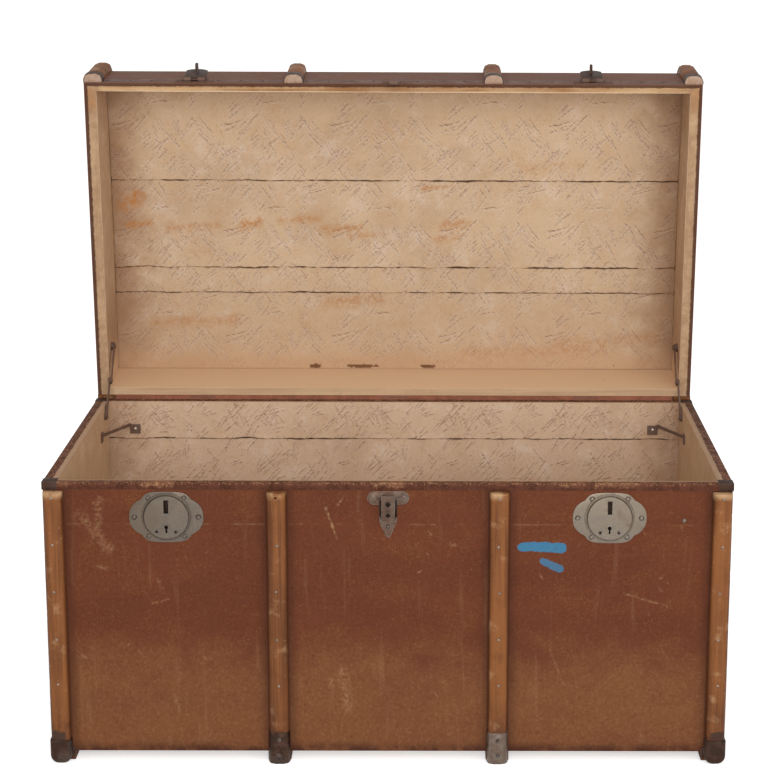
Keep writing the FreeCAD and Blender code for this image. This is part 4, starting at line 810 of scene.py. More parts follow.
def rim_edges(tools, where, colour):
    """A lid board's rim: dark where the binding folds over it, and glue stains in two corners."""
    palette = colours()
    x, _y, z = tools.axes(where)
    ragged_edge = tools.times(tools.noise(where, 150.0, 4.0, 0.6), 0.004)
    across = tools.plus(tools.math("ABSOLUTE", x), ragged_edge)
    top = opened((0, FRONT, LID_RIM_CLOSED)).z
    folded = tools.step(tools.plus(z, ragged_edge), top - 0.0045, top - 0.0030)
    folded = tools.larger(tools.step(across, 0.4950, 0.4970), folded)
    blotches = tools.noise(where, 60.0, 5.0, 0.7)
    for side in (-1, 1):
        start, end = (side * 0.491, RIM_FACE, top - 0.016), (side * 0.489, RIM_FACE, top - 0.034)
        mark = marked(tools, where, start, end, 0.003, 0.009, 0.008, 90.0)
        colour = tools.mix(tools.times(mark, 0.85), colour, palette.stain)
    scabs = tools.times(tools.step(blotches, 0.60, 0.68), 0.5)
    colour = tools.mix(scabs, colour, palette.board_dark)
    white = tools.times(tools.step(tools.noise(where, 30.0, 5.0, 0.7), 0.42, 0.60), 0.55)
    pale = tools.larger(white, tools.step(z, 0.50, 0.46, 0.0, 0.55))
    pale = tools.larger(pale, tools.step(across, 0.478, 0.486, 0.0, 0.55))
    pale = tools.times(pale, tools.step(z, top - 0.040, top - 0.060, 0.3, 1.0))
    colour = tools.mix(pale, colour, palette.paper)
    grime = tools.times(tools.step(across, 0.470, 0.484), tools.step(blotches, 0.36, 0.62, 0.35, 0.75))
    colour = tools.mix(grime, colour, palette.paper_shade)
    return tools.mix(tools.times(folded, 0.9), colour, palette.canvas_dirt_and_shade)


LID_JOINT, CHEST_JOINT = (0.11, 0.055, 0.028, 1), (0.045, 0.022, 0.011, 1)


def joint_line(tools, colour, position, middle, dark):
    """A colour with a dark line where a position along the boards passes the middle of a joint."""
    return tools.mix(tools.step(tools.away(position, middle), 0.0060, 0.0035), colour, dark)


def plank_joints(tools, where, colour):
    """The dark open joints of the lid's top planks, seen through the split paper."""
    along = LID_TURN.to_3x3() @ Vector((0, 1, 0))
    position = tools.dot(where, along)
    for place in PLANK_JOINTS:
        colour = joint_line(tools, colour, position, opened((0, place, 0)).dot(along), LID_JOINT)
    return colour


def board_gap(tools, where, colour):
    """The dark joint of the chest's back boards behind the split paper."""
    return joint_line(tools, colour, tools.axes(where)[2], BACK_CRACK, CHEST_JOINT)


STAINS = {
    # x, z on the open lid, half length, thickness, strength
    "left_high": (-0.448, 0.749, 0.010, 0.022, 0.9),
    "left_low": (-0.439, 0.709, 0.020, 0.008, 1.0),
    "left_mid": (-0.345, 0.705, 0.040, 0.012, 0.525),
    "centre_one": (-0.245, 0.711, 0.012, 0.014, 0.975),
    "centre_two": (-0.163, 0.719, 0.030, 0.010, 0.75),
    "centre_three": (-0.095, 0.703, 0.032, 0.011, 0.675),
    "centre_four": (-0.055, 0.691, 0.030, 0.008, 0.6),
    "right_one": (0.067, 0.775, 0.022, 0.006, 0.9),
    "right_two": (0.102, 0.712, 0.020, 0.012, 0.825),
    "right_three": (0.089, 0.687, 0.020, 0.010, 0.525),
    "right_four": (0.265, 0.809, 0.050, 0.018, 0.3),
    "low_left": (-0.345, 0.539, 0.070, 0.014, 0.6),
    "low_right": (0.235, 0.487, 0.120, 0.016, 0.525),
    "low_far": (0.365, 0.507, 0.080, 0.018, 0.45),
    "low_centre": (-0.075, 0.577, 0.045, 0.016, 0.6),
    "foot": (-0.115, 0.465, 0.300, 0.014, 0.33),
}


def paper_material(name, lid, embossed=True, tint=None):
    """Embossed lining paper: strokes with painted shade and painted highlights, fibres, damp stains and brown
    corners.
    """
    material, tools, shader, where = new_material(name)
    palette = colours()
    x, _y, z = tools.axes(where)
    clouds = tools.noise(where, 6.0, 5.0, 0.6)
    blotches = tools.noise(where, 22.0, 6.0, 0.66)
    fibre = tools.noise(where, 330.0, 5.0, 0.7)
    base = tint or palette.paper
    colour = tools.mix(tools.times(tools.step(clouds, 0.46, 0.70), 0.28), base, palette.paper_shade)
    warm = tools.mix(0.4, base, palette.stain)
    colour = tools.mix(tools.times(tools.step(blotches, 0.5, 0.68), 0.34), colour, warm)
    pale = tools.mix(0.35, base, (1, 1, 1, 1))
    colour = tools.mix(tools.times(tools.step(blotches, 0.46, 0.32), 0.30), colour, pale)
    colour = tools.mix(tools.times(tools.step(fibre, 0.52, 0.66), 0.30), colour, palette.paper_shade)
    height = tools.times(fibre, 0.35)
    if embossed:
        # Painted shade on one side of each embossed stroke and along the sheet's edges, and a painted
        # highlight on each stroke's ridge.
        colour = tools.mix(tools.step(tools.attribute("stroke_shade"), 0.08, 0.65), colour, palette.paper_shade)
        colour = tools.mix(tools.times(tools.attribute("stroke_highlight"), 0.55 if lid else 0.3), colour, pale)
        # Creases: a bump, with painted shade darkening the paper along each crease.
        crease = tools.away(tools.noise(where, 34.0, 2.0, 0.5, 1.6), 0.5)
        crease = tools.times(tools.step(crease, 0.016, 0.004), tools.step(blotches, 0.42, 0.56))
        crease = tools.times(crease, 0.18)
        colour = tools.mix(crease, colour, palette.paper_shade)
        height = tools.minus(height, crease)
    # Darker and browner towards the left and right ends of each sheet.
    side = tools.plus(tools.math("ABSOLUTE", x), tools.times(blotches, 0.10))
    corner = tools.step(side, 0.445, 0.540)
    colour = tools.mix(tools.times(corner, 0.62 if lid else 0.4), colour, palette.corner)
    if lid:
        flat = tools.place(where, (1, 0, 1))
        grainy = tools.step(tools.noise(where, 150.0, 5.0, 0.7), 0.34, 0.62)
        for place_x, place_z, half, thick, strength in STAINS.values():
            lean = thick * 0.2
            start, end = (place_x - half, 0.0, place_z - lean), (place_x + half, 0.0, place_z + lean)
            mark = marked(tools, flat, start, end, 0.0, thick, thick * 1.3, 48.0)
            colour = tools.mix(tools.times(mark, tools.times(grainy, strength)), colour, palette.stain)
        low = tools.plus(z, tools.times(blotches, 0.02))
        low = tools.step(low, 0.515, 0.475, 0.0, 0.55 if embossed else 0.95)
        colour = tools.mix(low, colour, warm)
        # Painted shade: the lid paper darkens towards its lower part.
        colour = tools.mix(tools.step(z, 0.70, 0.52, 0.0, 0.28), colour, palette.paper_shade)
    else:
        # Painted shade: the paper darkens towards the chest's floor, deep inside the open chest.
        deep = tools.step(z, RIM - 0.06, FLOOR_TOP, 0.0, 0.4)
        colour = tools.mix(deep, colour, palette.paper_shade)
    bare = tools.attribute("bare")
    colour = tools.mix(bare, colour, tools.mix(0.35, palette.rust, palette.board_dark))
    specks = tools.step(tools.noise(where, 150.0, 2.0), 0.75, 0.79)
    colour = tools.mix(tools.times(specks, 0.8), colour, palette.canvas_dirt_and_shade)
    coat(tools, shader, colour, tools.step(fibre, 0.3, 0.7, 0.68, 0.85), height, specular=0.15)
    return material


TAPE_WEAR = {
    # x, half length: where the front of the rim is rubbed through to the board
    "over_catch": (0.000, 0.019),
    "over_right_lock": (0.330, 0.026),
    "right_of_lock": (0.262, 0.010),
    "over_left_lock": (-0.335, 0.020),
    "left_end": (-0.476, 0.008),
}
TAPE_FOLD = 0.0105


def tape_material(name, tint, chest):
    """Binding tape: cracked, rubbed pale along the rim and worn through in places."""
    material, tools, shader, where = new_material(name)
    palette = colours()
    x, y, z = tools.axes(where)
    blotches = tools.noise(where, 45.0, 6.0, 0.7)
    cracks = tools.noise(where, 330.0, 5.0, 0.7)
    dirty = tools.step(blotches, 0.38, 0.62, 0.0, 1.0 if chest else 0.35)
    colour = tools.mix(dirty, tint, palette.canvas_dirt_and_shade)
    chips = tools.times(tools.step(cracks, 0.58, 0.68), tools.step(blotches, 0.42, 0.60, 0.12, 0.7))
    rub = tools.use(group("Rub", make_rub), Radius=0.0012, Vector=where, Breakup=90.0)[0]
    worn = tools.larger(tools.times(chips, 0.7 if chest else 0.25), tools.times(rub, 0.30))
    if chest:
        for place, half in TAPE_WEAR.values():
            start, end = on_front(place - half, RIM), on_front(place + half, RIM)
            mark = marked(tools, where, start, end, 0.0015, 0.0060, 0.010, 130.0)
            worn = tools.larger(worn, tools.times(mark, tools.step(cracks, 0.44, 0.60, 0.08, 0.75)))
        flecks = tools.times(tools.step(z, RIM - 0.0045, RIM - 0.001), tools.step(cracks, 0.52, 0.60))
        worn = tools.larger(worn, tools.times(flecks, 0.6))
        ragged_edge = tools.times(tools.noise(where, 120.0, 4.0, 0.6), 0.005)
        across = tools.plus(tools.math("ABSOLUTE", x), ragged_edge)
        inner_x = tools.step(across, 0.502 - TAPE_FOLD, 0.501 - TAPE_FOLD)
        fold = FRONT + TAPE_FOLD
        behind = tools.step(tools.plus(y, ragged_edge), fold + 0.002, fold + 0.003)
        before = tools.step(y, BACK - 0.014, BACK - 0.016)
        inside = tools.times(inner_x, tools.times(behind, before))
        colour = tools.mix(inside, colour, palette.rim_inside)
        worn = tools.times(worn, tools.minus(1.0, inside))
    colour = tools.mix(worn, colour, palette.tape_worn)
    height = tools.plus(tools.times(cracks, 0.5), tools.times(blotches, 0.5))
    height = tools.minus(height, tools.times(worn, 0.5))
    rough = tools.step(blotches, 0.3, 0.7, 0.6, 0.82)
    coat(tools, shader, colour, rough, height, specular=0.2 if chest else 0.45)
    return material


def steel_material(
    name, tint, amount, gloss, rusted=0.5, scale=34.0, right_tint=None, edge=0.55, metal=0.9,
):
    """Old plated or browned steel: blotched, specked with rust, rubbed bright on its edges."""
    material, tools, shader, where = new_material(name)
    palette = colours()
    blotches, specks, scratches = tools.use(
        group("Tarnish", make_tarnish), Vector=where, Scale=scale, Amount=amount,
    )
    if right_tint:
        tint = tools.mix(tools.step(tools.axes(where)[0], -0.05, 0.05), tint, right_tint)
    dull = tools.mix(0.6, tint, palette.rust)
    colour = tools.mix(tools.times(blotches, rusted), tint, dull)
    colour = tools.mix(tools.times(specks, rusted), colour, palette.rust)
    rub = tools.use(group("Rub", make_rub), Radius=0.0010, Vector=where, Breakup=140.0)[0]
    bright = tools.mix(0.35, tint, (1, 1, 1, 1))
    colour = tools.mix(tools.times(rub, edge), colour, bright)
    colour = tools.mix(tools.times(scratches, 0.3), colour, bright)
    metallic = tools.step(tools.plus(blotches, specks), 0.0, 1.6, metal, metal * 0.5)
    tools.feed(shader.inputs["Metallic"], metallic)
    rough = tools.plus(tools.times(blotches, 0.2), tools.times(specks, 0.2))
    pitted = tools.plus(scratches, tools.times(specks, 0.5))
    height = tools.minus(tools.times(blotches, 0.3), pitted)
    coat(tools, shader, colour, tools.plus(rough, gloss), height, 0.0004, 0.5)
    return material


def finished(name, make, *settings, **options):
    """The material of that name, made on first use."""
    return bpy.data.materials.get(name) or make(name, *settings, **options)


def nickel():
    return finished(
        "dull_nickel", steel_material, colours().nickel, 0.55, 0.40, 0.45, right_tint=colours().nickel_right,
    )


def aged_steel():
    return finished("aged_steel", steel_material, colours().steel, 0.8, 0.38, 0.65)


def rusty_steel():
    return finished("rusty_steel", steel_material, colours().toe_dark, 0.9, 0.5, 0.6)


def dark_steel():
    return finished("browned_steel", steel_material, colours().dark_steel, 0.85, 0.46, 0.7)


def dull_steel():
    """Brown, matt steel: the lid stays, the hinges and the base plates of the hasps."""
    return finished("dull_steel", steel_material, colours().stay, 0.9, 0.6, 0.6, edge=0.15, metal=0.15)


def bright_steel():
    return finished("bright_steel", steel_material, colours().steel_bright, 0.7, 0.38, 0.5)


def old_dirt():
    """Dark, dull colour: rings round the nails, rivets and screws, and painted shade in holes and beside the
    catch's lever.
    """
    return finished("old_dirt", steel_material, colours().hole, 0.5, 0.75, 0.3)


def bare_wood(name, along=ALONG_X, overlay=None):
    return finished(
        name, wood_material, colours().board, colours().board_dark, 0.2, 0.6, along=along, overlay=overlay,
    )


def varnished_wood():
    return finished(
        "varnished_battens", wood_material, colours().batten, colours().batten_dark, 0.35, 0.40,
        overlay=batten_dirt_and_shade,
    )


def dress(nodes, material):
    """Gives carried-over CAD nodes their material."""
    for node in nodes:
        slots = frame["nodes"][node].data.materials
        slots.clear()
        slots.append(material)


# ---- operators ------------------------------------------------------------------------

class Step(bpy.types.Operator):
    """Shared parts of the trunk's operators"""

    bl_options = {"REGISTER", "UNDO"}

    def execute(self, context):
        self.build(sizes(), colours())
        return {"FINISHED"}


class TRUNK_OT_boards(Step):
    """Finish the bare boards, planks and runners behind the canvas"""

    bl_idname = "trunk.boards"
    bl_label = "Boards"

    def build(self, size, palette):
        boards = [node for node in frame["nodes"] if node.endswith(("_board", "_boards"))]
        dress(boards, bare_wood("bare_boards"))
        light, dark = palette.batten_dark, palette.canvas_dirt_and_shade
        dress(["bottom_runners"], finished("dark_runners", wood_material, light, dark, 0.1, 0.6, ALONG_X))
        dress(["lid_front_board", "lid_back_board"], bare_wood("lid_boards", overlay=rim_edges))
        ends = bare_wood("lid_end_boards", ALONG_Z, rim_edges)
        dress(["lid_left_end_board", "lid_right_end_board"], ends)
        dress(["lid_top_planks"], bare_wood("lid_planks", overlay=plank_joints))
        dress(["chest_back_boards"], bare_wood("back_boards", overlay=board_gap))


class TRUNK_OT_canvas(Step):
    """Paint and wear the canvas skins of the chest and the lid"""

    bl_idname = "trunk.canvas"
    bl_label = "Canvas"

    def build(self, size, palette):
        dress(["chest_canvas"], finished("chest_paint", canvas_material, True))
        dress(["lid_canvas"], finished("lid_paint", canvas_material, False))


def worn_batten(name, low, high, outer):
    """A batten planed round, with softened ends and an uneven, worn surface.

    outer is -1 where the batten stands on the front of the chest and 1 on its back.
    """
    size = sizes()
    face, back = (low.y, high.y) if outer < 0 else (high.y, low.y)
    piece = block(name, low, high)

    def is_long(edge):
        return edge.calc_length() > 0.2

    bevelled(piece, lambda edge: lies_at(edge, 1, face) and is_long(edge), size.batten_round, 6)
    bevelled(piece, lambda edge: lies_at(edge, 2, high.z) and not lies_at(edge, 1, back), 0.0012, 2)
    shape(piece, "EDGE", is_long, lambda: bpy.ops.mesh.subdivide(number_cuts=110))
    middle = (low + high) / 2
    for vertex in piece.data.vertices:
        point = vertex.co
        if abs(point.y - face) > (high.y - low.y) * 0.96:
            continue
        dent = noise.noise(Vector((point.x * 60, point.y * 60, point.z * 14))) * 0.5 + 0.5
        chip = max(0.0, noise.noise(point * 150) - 0.30) * 2.6
        inward = Vector((middle.x - point.x, middle.y - point.y, 0))
        vertex.co = point + inward.normalized() * size.batten_wear * (dent + chip)
    return smooth(outward(piece), 42)


class TRUNK_OT_battens(Step):
    """Plane, wear and varnish the wooden battens of the chest and the lid"""

    bl_idname = "trunk.battens"
    bl_label = "Battens"

    def build(self, size, palette):
        wood = varnished_wood()
        hidden = Vector((0, 0, 0.012))  # the foot starts inside the toe cap
        for place, box in zip(("left", "middle_left", "middle_right", "right"), BATTEN_SOLIDS):
            piece = worn_batten(f"worn_front_batten_{place}", box[0] + hidden, box[1], -1)
            finish(piece, "chest", "battens", wood, f"front_batten_{place}")
        backs = [
            worn_batten(f"back_{number}", low + hidden, high, 1)
            for number, (low, high) in enumerate(solid_boxes("back_battens"))
        ]
        finish(joined("worn_back_battens", backs), "chest", "battens", wood, "back_battens")
        light, dark = palette.batten, palette.batten_dark
        bent = finished("bent_battens", wood_material, light, dark, 0.35, 0.40, overlay=end_grain)
        finish(softened("lid_battens", 0.0006), "lid", "battens", bent, "lid_battens")


class TRUNK_OT_nails(Step):
    """Drive the nails of the battens and the tacks of the lid's tape"""

    bl_idname = "trunk.nails"
    bl_label = "Nails"

    # A batten's highest nail below its top, the lowest place for one, and how far they stray
    TOP, LOWEST, STRAY = 0.0068, 0.055, 0.0015
    # The lid's tacks: height over the rim, last place along x, and the space kept for each side
    # of a batten's middle and of a fitting
    RISE, LAST, BATTEN_SPACE, FITTING_SPACE = 0.017, 0.462, 0.021, 0.004
    # The lone stud of the right front panel
    STUD_X, STUD_Z = 0.431, 0.3735

    def build(self, size, palette):
        draw = random.Random(size.seed)
        places, holes = [], []
        for low, high in BATTEN_SOLIDS + solid_boxes("back_battens"):
            at_front = low.y < 0
            face = low.y + size.batten_wear if at_front else high.y - size.batten_wear
            height = high.z - self.TOP
            while height > self.LOWEST:
                point = Vector((centre((low, high)).x, face, height))
                point.x += draw.uniform(-self.STRAY, self.STRAY)
                point.z += draw.uniform(-self.STRAY, self.STRAY)
                place = facing((0, -1 if at_front else 1, 0), point, draw.uniform(0, 6))
                holes.append(place)
                # The top nail of one front batten is lost, and only its hole shows
                lost = at_front and height > high.z - 0.02 and abs(point.x - BATTEN_PLACES[1]) < 0.01
                if not lost:
                    places.append(place)
                height -= size.nail_pitch
        nails = copies("batten_nails", dome(size.nail_radius, size.nail_rise), places)
        finish(nails, "chest", "dark_steel", bright_steel())
        # A dark ring round each nail, and in the lost nail's hole a dark disc of painted shade.
        dirt = copies("nail_rings_and_hole_shade", dome(size.nail_radius * 1.4, 0.0004), holes)
        finish(dirt, "chest", "dark_steel", old_dirt())
        lone = facing((0, -1, 0), on_front(self.STUD_X, self.STUD_Z))
        stud = copies("panel_stud", dome(0.0036, 0.0024), [lone])
        finish(stud, "chest", "nickel", nickel())
        finish(self.lid_tacks(size, draw), "lid", "dark_steel", dark_steel())

    def lid_tacks(self, size, draw):
        """Tacks along the lid's tape at the front and the back, clear of battens and hardware."""
        rise = LID_RIM_CLOSED + self.RISE
        battens = [(place - self.BATTEN_SPACE, place + self.BATTEN_SPACE) for place in BATTEN_PLACES]

        def covered(boxes):
            space = self.FITTING_SPACE
            return battens + [(low.x - space, high.x + space) for low, high in boxes]

        busy = covered(solid_boxes("hasp_bases") + [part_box("catch_keeper")])
        back_busy = covered(solid_boxes("hinge_lid_leaves"))
        found = []
        across = -self.LAST
        while across < self.LAST + 0.001:
            x = across + draw.uniform(-0.003, 0.003)
            for y, blocked, way in ((FRONT - 0.0008, busy, -1), (BACK + 0.0008, back_busy, 1)):
                if not any(start < x < end for start, end in blocked):
                    found.append(((0, way, 0), (x, y, rise)))
            across += size.tack_pitch
        places = [LID_TURN @ facing(way, point, draw.uniform(0, 6)) for way, point in found]
        return copies("lid_tape_tacks", dome(size.tack_radius, 0.0011), places)


class Relief:
    """Heights of the paper's embossed strokes: one square of the pattern that repeats."""

    CELL, SIDE, SPACING = 0.0008, 0.184, 0.026

    def __init__(self, seed, lean_way=1):
        draw = random.Random(seed)
        self.count = round(self.SIDE / self.CELL)
        self.heights = np.zeros((self.count, self.count))
        for row in range(int(self.SIDE / self.SPACING)):
            for column in range(int(self.SIDE / self.SPACING)):
                start = Vector((column + draw.uniform(-0.4, 0.4), row + draw.uniform(-0.4, 0.4)))
                start *= self.SPACING
                lean = draw.choice((0.75, 0.85, 0.95, 1.05, 0.9, -0.95, -1.1, 1.4, 0.3))
                self.cluster(draw, start, lean_way * (lean + draw.uniform(-0.12, 0.12)))

    def cluster(self, draw, start, angle):
        """A handful of nearly parallel strokes, each a little bent."""
        along = Vector((math.cos(angle), math.sin(angle)))
        aside = Vector((-along.y, along.x))
        for number in range(draw.randint(2, 5)):
            begin = start + aside * (number * draw.uniform(0.003, 0.006)) + along * draw.uniform(-0.01, 0.01)
            reach = draw.uniform(0.018, 0.046)
            bend = draw.uniform(-0.14, 0.14)
            size = draw.uniform(0.45, 1.0)
            for share in np.arange(0, 1, self.CELL / reach):
                point = begin + along * (reach * share) + aside * (bend * reach * share * share)
                self.press(point, size * min(1.0, 5 * share, 5 * (1 - share) + 0.1))

    def press(self, point, size):
        """One dot of a stroke, as a small rounded bump."""
        column, row = int(point.x / self.CELL), int(point.y / self.CELL)
        for up in (-1, 0, 1):
            for across in (-1, 0, 1):
                spot = (row + up) % self.count, (column + across) % self.count
                bump = size * (1.0, 0.7, 0.4)[abs(up) + abs(across)]
                self.heights[spot] = max(self.heights[spot], bump)

    def at(self, across, up):
        return self.heights[int(up / self.CELL) % self.count, int(across / self.CELL) % self.count]


def ragged(position, seed, size):
    """An uneven tear line, in metres off its middle."""
    slow = noise.noise(Vector((position * 22, seed * 7.3, 0)))
    fast = noise.noise(Vector((position * 110, seed * 3.1, 5)))
    return size * (slow * 1.4 + fast * 0.8)


# How far a sheet with or without strokes lifts off its wall, the distance over which a stroke
# shades the paper, the reach of a curled edge, and how far a flat sheet's back lies behind its front
LIFT_EMBOSSED, LIFT_PLAIN, SHADE, CURL, BEHIND = 0.0009, 0.0002, 0.0014, 0.004, 0.0012


def sheet_of_paper(
    name, node, low, high, place, toward, relief=None, step=0.006, tears=(0, 0), rips=(), arched=False,
):
    """A sheet of paper pressed on the inside of a CAD node, closed at its edges and back.

    low and high are its corners in its own two directions, place(u, v) gives the point in the
    hollow over u, v, and toward the direction of the wall. tears are the sizes of its two
    ragged long edges, and rips are spots (u, v, half length, half width) torn down to the wood.
    An arched sheet gets a back that follows its front; a flat one is closed by one face.
    """
    size = sizes()
    bpy.ops.object.select_all(action="DESELECT")
    counts = [max(2, round((b - a) / step)) for a, b in zip(low, high)]
    bpy.ops.mesh.primitive_grid_add(x_subdivisions=counts[0], y_subdivisions=counts[1], size=1)
    piece = named(name)
    wall = node_surface(node)
    toward = Vector(toward)
    stroke_shades, stroke_highlights, bare = [], [], []
    for vertex in piece.data.vertices:
        u = low[0] + (vertex.co.x + 0.5) * (high[0] - low[0])
        share = vertex.co.y + 0.5
        lower = low[1] + ragged(u, 1 + low[1], tears[0])
        upper = high[1] + ragged(u, 2 + high[1], tears[1])
        v = lower + share * (upper - lower)
        spot = wall.ray_cast(place(u, v), toward)[0]
        if spot is None:
            raise RuntimeError(f"{name} misses {node} at {u:.3f}, {v:.3f}")
        wave = noise.noise(Vector((u * 14, v * 14, 3))) * 0.5 + 0.5
        lift = wave * (LIFT_EMBOSSED if relief else LIFT_PLAIN)
        stroke, below, above = [
            relief.at(u - low[0], v + off) if relief else 0.0 for off in (0.0, -SHADE, SHADE)
        ]
        edge = min(v - lower, upper - v)
        for tear, gap in ((tears[0], v - lower), (tears[1], upper - v)):
            if tear:
                curl = max(0.0, noise.noise(Vector((u * 30, gap * 3, 9))) + 0.25)
                lift += tear * 1.1 * curl * math.exp(-max(gap, 0) / CURL)
        torn = 0.0
        for rip_u, rip_v, half_u, half_v in rips:
            off = math.hypot((u - rip_u) / half_u, (v - rip_v) / half_v)
            off += 0.5 * noise.noise(Vector((u * 160, v * 160, 1)))
            if off < 1:
                torn = 1.0
        if torn:
            lift, stroke = -size.paper * 0.6, 0.0
        vertex.co = spot - toward * (lift + stroke * size.emboss)
        # Painted light of the strokes: the stroke shade darkens the paper on one side of each stroke and
        # along its last millimetre at the sheet's edges, and the stroke highlight lightens each stroke's top.
        stroke_shades.append(max(0.0, above - stroke * 0.5) if edge > 0.001 else 0.4)
        stroke_highlights.append(max(0.0, stroke - 0.3 * below))
        bare.append(torn)
    for label, values in (("stroke_shade", stroke_shades), ("stroke_highlight", stroke_highlights), ("bare", bare)):
        attribute = piece.data.attributes.new(label, "FLOAT", "POINT")
        attribute.data.foreach_set("value", np.array(values, np.float32))
    if arched:
        away = -1 if piece.data.polygons[0].normal.dot(toward) < 0 else 1
        modify(piece, "SOLIDIFY", thickness=size.paper, offset=away)
    else:
        closed_behind(piece, toward * (size.paper + BEHIND))
    return smooth(outward(piece), 60)


class TRUNK_OT_lid_paper(Step):
    """Line the lid with embossed paper that has split over the plank joints"""

    bl_idname = "trunk.lid_paper"
    bl_label = "Lid paper"

    # How high the paper of the lid's front and back walls and of its end walls reaches
    LONG_WALL, END_WALL = 0.1075, 0.1085

    def build(self, size, palette):
        material = finished("lid_paper", paper_material, True)
        plain = finished("plain_lid_paper", paper_material, True, False, palette.lid_wall)
        closed = LID_TURN.inverted()
        lining = [closed @ vertex.co for vertex in frame["nodes"]["lid_lining"].data.vertices]
        (left, right), (front, back) = [
            [extreme(point[i] for point in lining) for extreme in (min, max)] for i in (0, 1)
        ]
        inset = size.paper + 0.0002
        left, right, front, back = left + inset, right - inset, front + inset, back - inset
        relief = Relief(size.seed, -1)
        edges = [front] + PLANK_JOINTS + [back]
        tears = [0.0, 0.0015, 0.0020, 0.0013, 0.0]
        rips = {3: [(-0.138, back - 0.004, 0.009, 0.004), (-0.058, back - 0.004, 0.023, 0.0035),
                    (0.056, back - 0.004, 0.012, 0.003)]}
        level = LID_RIM_CLOSED + 0.02
        up = LID_TURN.to_3x3() @ Vector((0, 0, 1))
        for number in range(4):
            gaps = [size.crack if 0 < edge < 4 else 0 for edge in (number, number + 1)]
            start, end = edges[number] + gaps[0], edges[number + 1] - gaps[1]
            piece = sheet_of_paper(
                f"lid_paper_{number + 1}", "lid_lining", (left, start - front), (right, end - front),
                lambda u, v: opened((u, v + front, level)), up, relief, size.paper_step,
                (tears[number], tears[number + 1]),
                [(u, v - front, half_u, half_v) for u, v, half_u, half_v in rips.get(number, [])],
                arched=True,
            )
            finish(piece, "lid", "lining", material, "lid_lining")
        self.walls(left, right, front, back, plain)

    def walls(self, left, right, front, back, plain):
        """The plain strips on the lid's four inner walls."""
        base = LID_RIM_CLOSED + 0.0004
        turn = LID_TURN.to_3x3()
        middle_y = (front + back) / 2
        sides = {
            "left": ((-1, 0, 0), lambda u, v: opened((0, u, v)), front, back),
            "right": ((1, 0, 0), lambda u, v: opened((0, u, v)), front, back),
            "front": ((0, -1, 0), lambda u, v: opened((u, middle_y, v)), left, right),
            "back": ((0, 1, 0), lambda u, v: opened((u, middle_y, v)), left, right),
        }
        for side, (toward, place, start, end) in sides.items():
            reach = self.LONG_WALL if side in ("front", "back") else self.END_WALL
            piece = sheet_of_paper(
                f"lid_wall_paper_{side}", "lid_lining", (start, base), (end, base + reach),
                place, turn @ Vector(toward),
            )
            finish(piece, "lid", "lining", plain, "lid_lining")


class TRUNK_OT_chest_paper(Step):
    """Line the chest with paper, embossed on its back wall"""

    bl_idname = "trunk.chest_paper"
    bl_label = "Chest paper"

    def build(self, size, palette):
        material = finished("chest_paper", paper_material, False, True, palette.chest_paper)
        plain = finished("plain_chest_paper", paper_material, False, False, palette.wall)
        low, high = INSIDE_LOW, INSIDE_HIGH
        inset = size.paper + 0.0002
        left, right, front, back = low.x + inset, high.x - inset, low.y + inset, high.y - inset
        bottom, top = low.z + inset, high.z - 0.0003
        middle = (low + high) / 2
        relief = Relief(size.seed + 1)
        for name, start, end, tears in (
            ("upper", BACK_CRACK + size.crack, top, (0.0016, 0)),
            ("lower", bottom, BACK_CRACK - size.crack, (0, 0.0012)),
        ):
            piece = sheet_of_paper(
                f"back_paper_{name}", "chest_lining", (left, start), (right, end),
                lambda u, v: Vector((u, middle.y, v)), (0, 1, 0), relief, 0.0022, tears,
            )
            finish(piece, "chest", "lining", material, "chest_lining")
        panels = {
            "front_paper": ((0, -1, 0), lambda u, v: Vector((u, middle.y, v)), left, right, bottom, top),
            "left_paper": ((-1, 0, 0), lambda u, v: Vector((middle.x, u, v)), front, back, bottom, top),
            "right_paper": ((1, 0, 0), lambda u, v: Vector((middle.x, u, v)), front, back, bottom, top),
            "floor_paper": ((0, 0, -1), lambda u, v: Vector((u, v, middle.z)), left, right, front, back),
        }
        for name, (toward, place, start, end, low_edge, high_edge) in panels.items():
            piece = sheet_of_paper(
                name, "chest_lining", (start, low_edge), (end, high_edge), place, toward, step=0.009,
            )
            finish(piece, "chest", "lining", plain, "chest_lining")


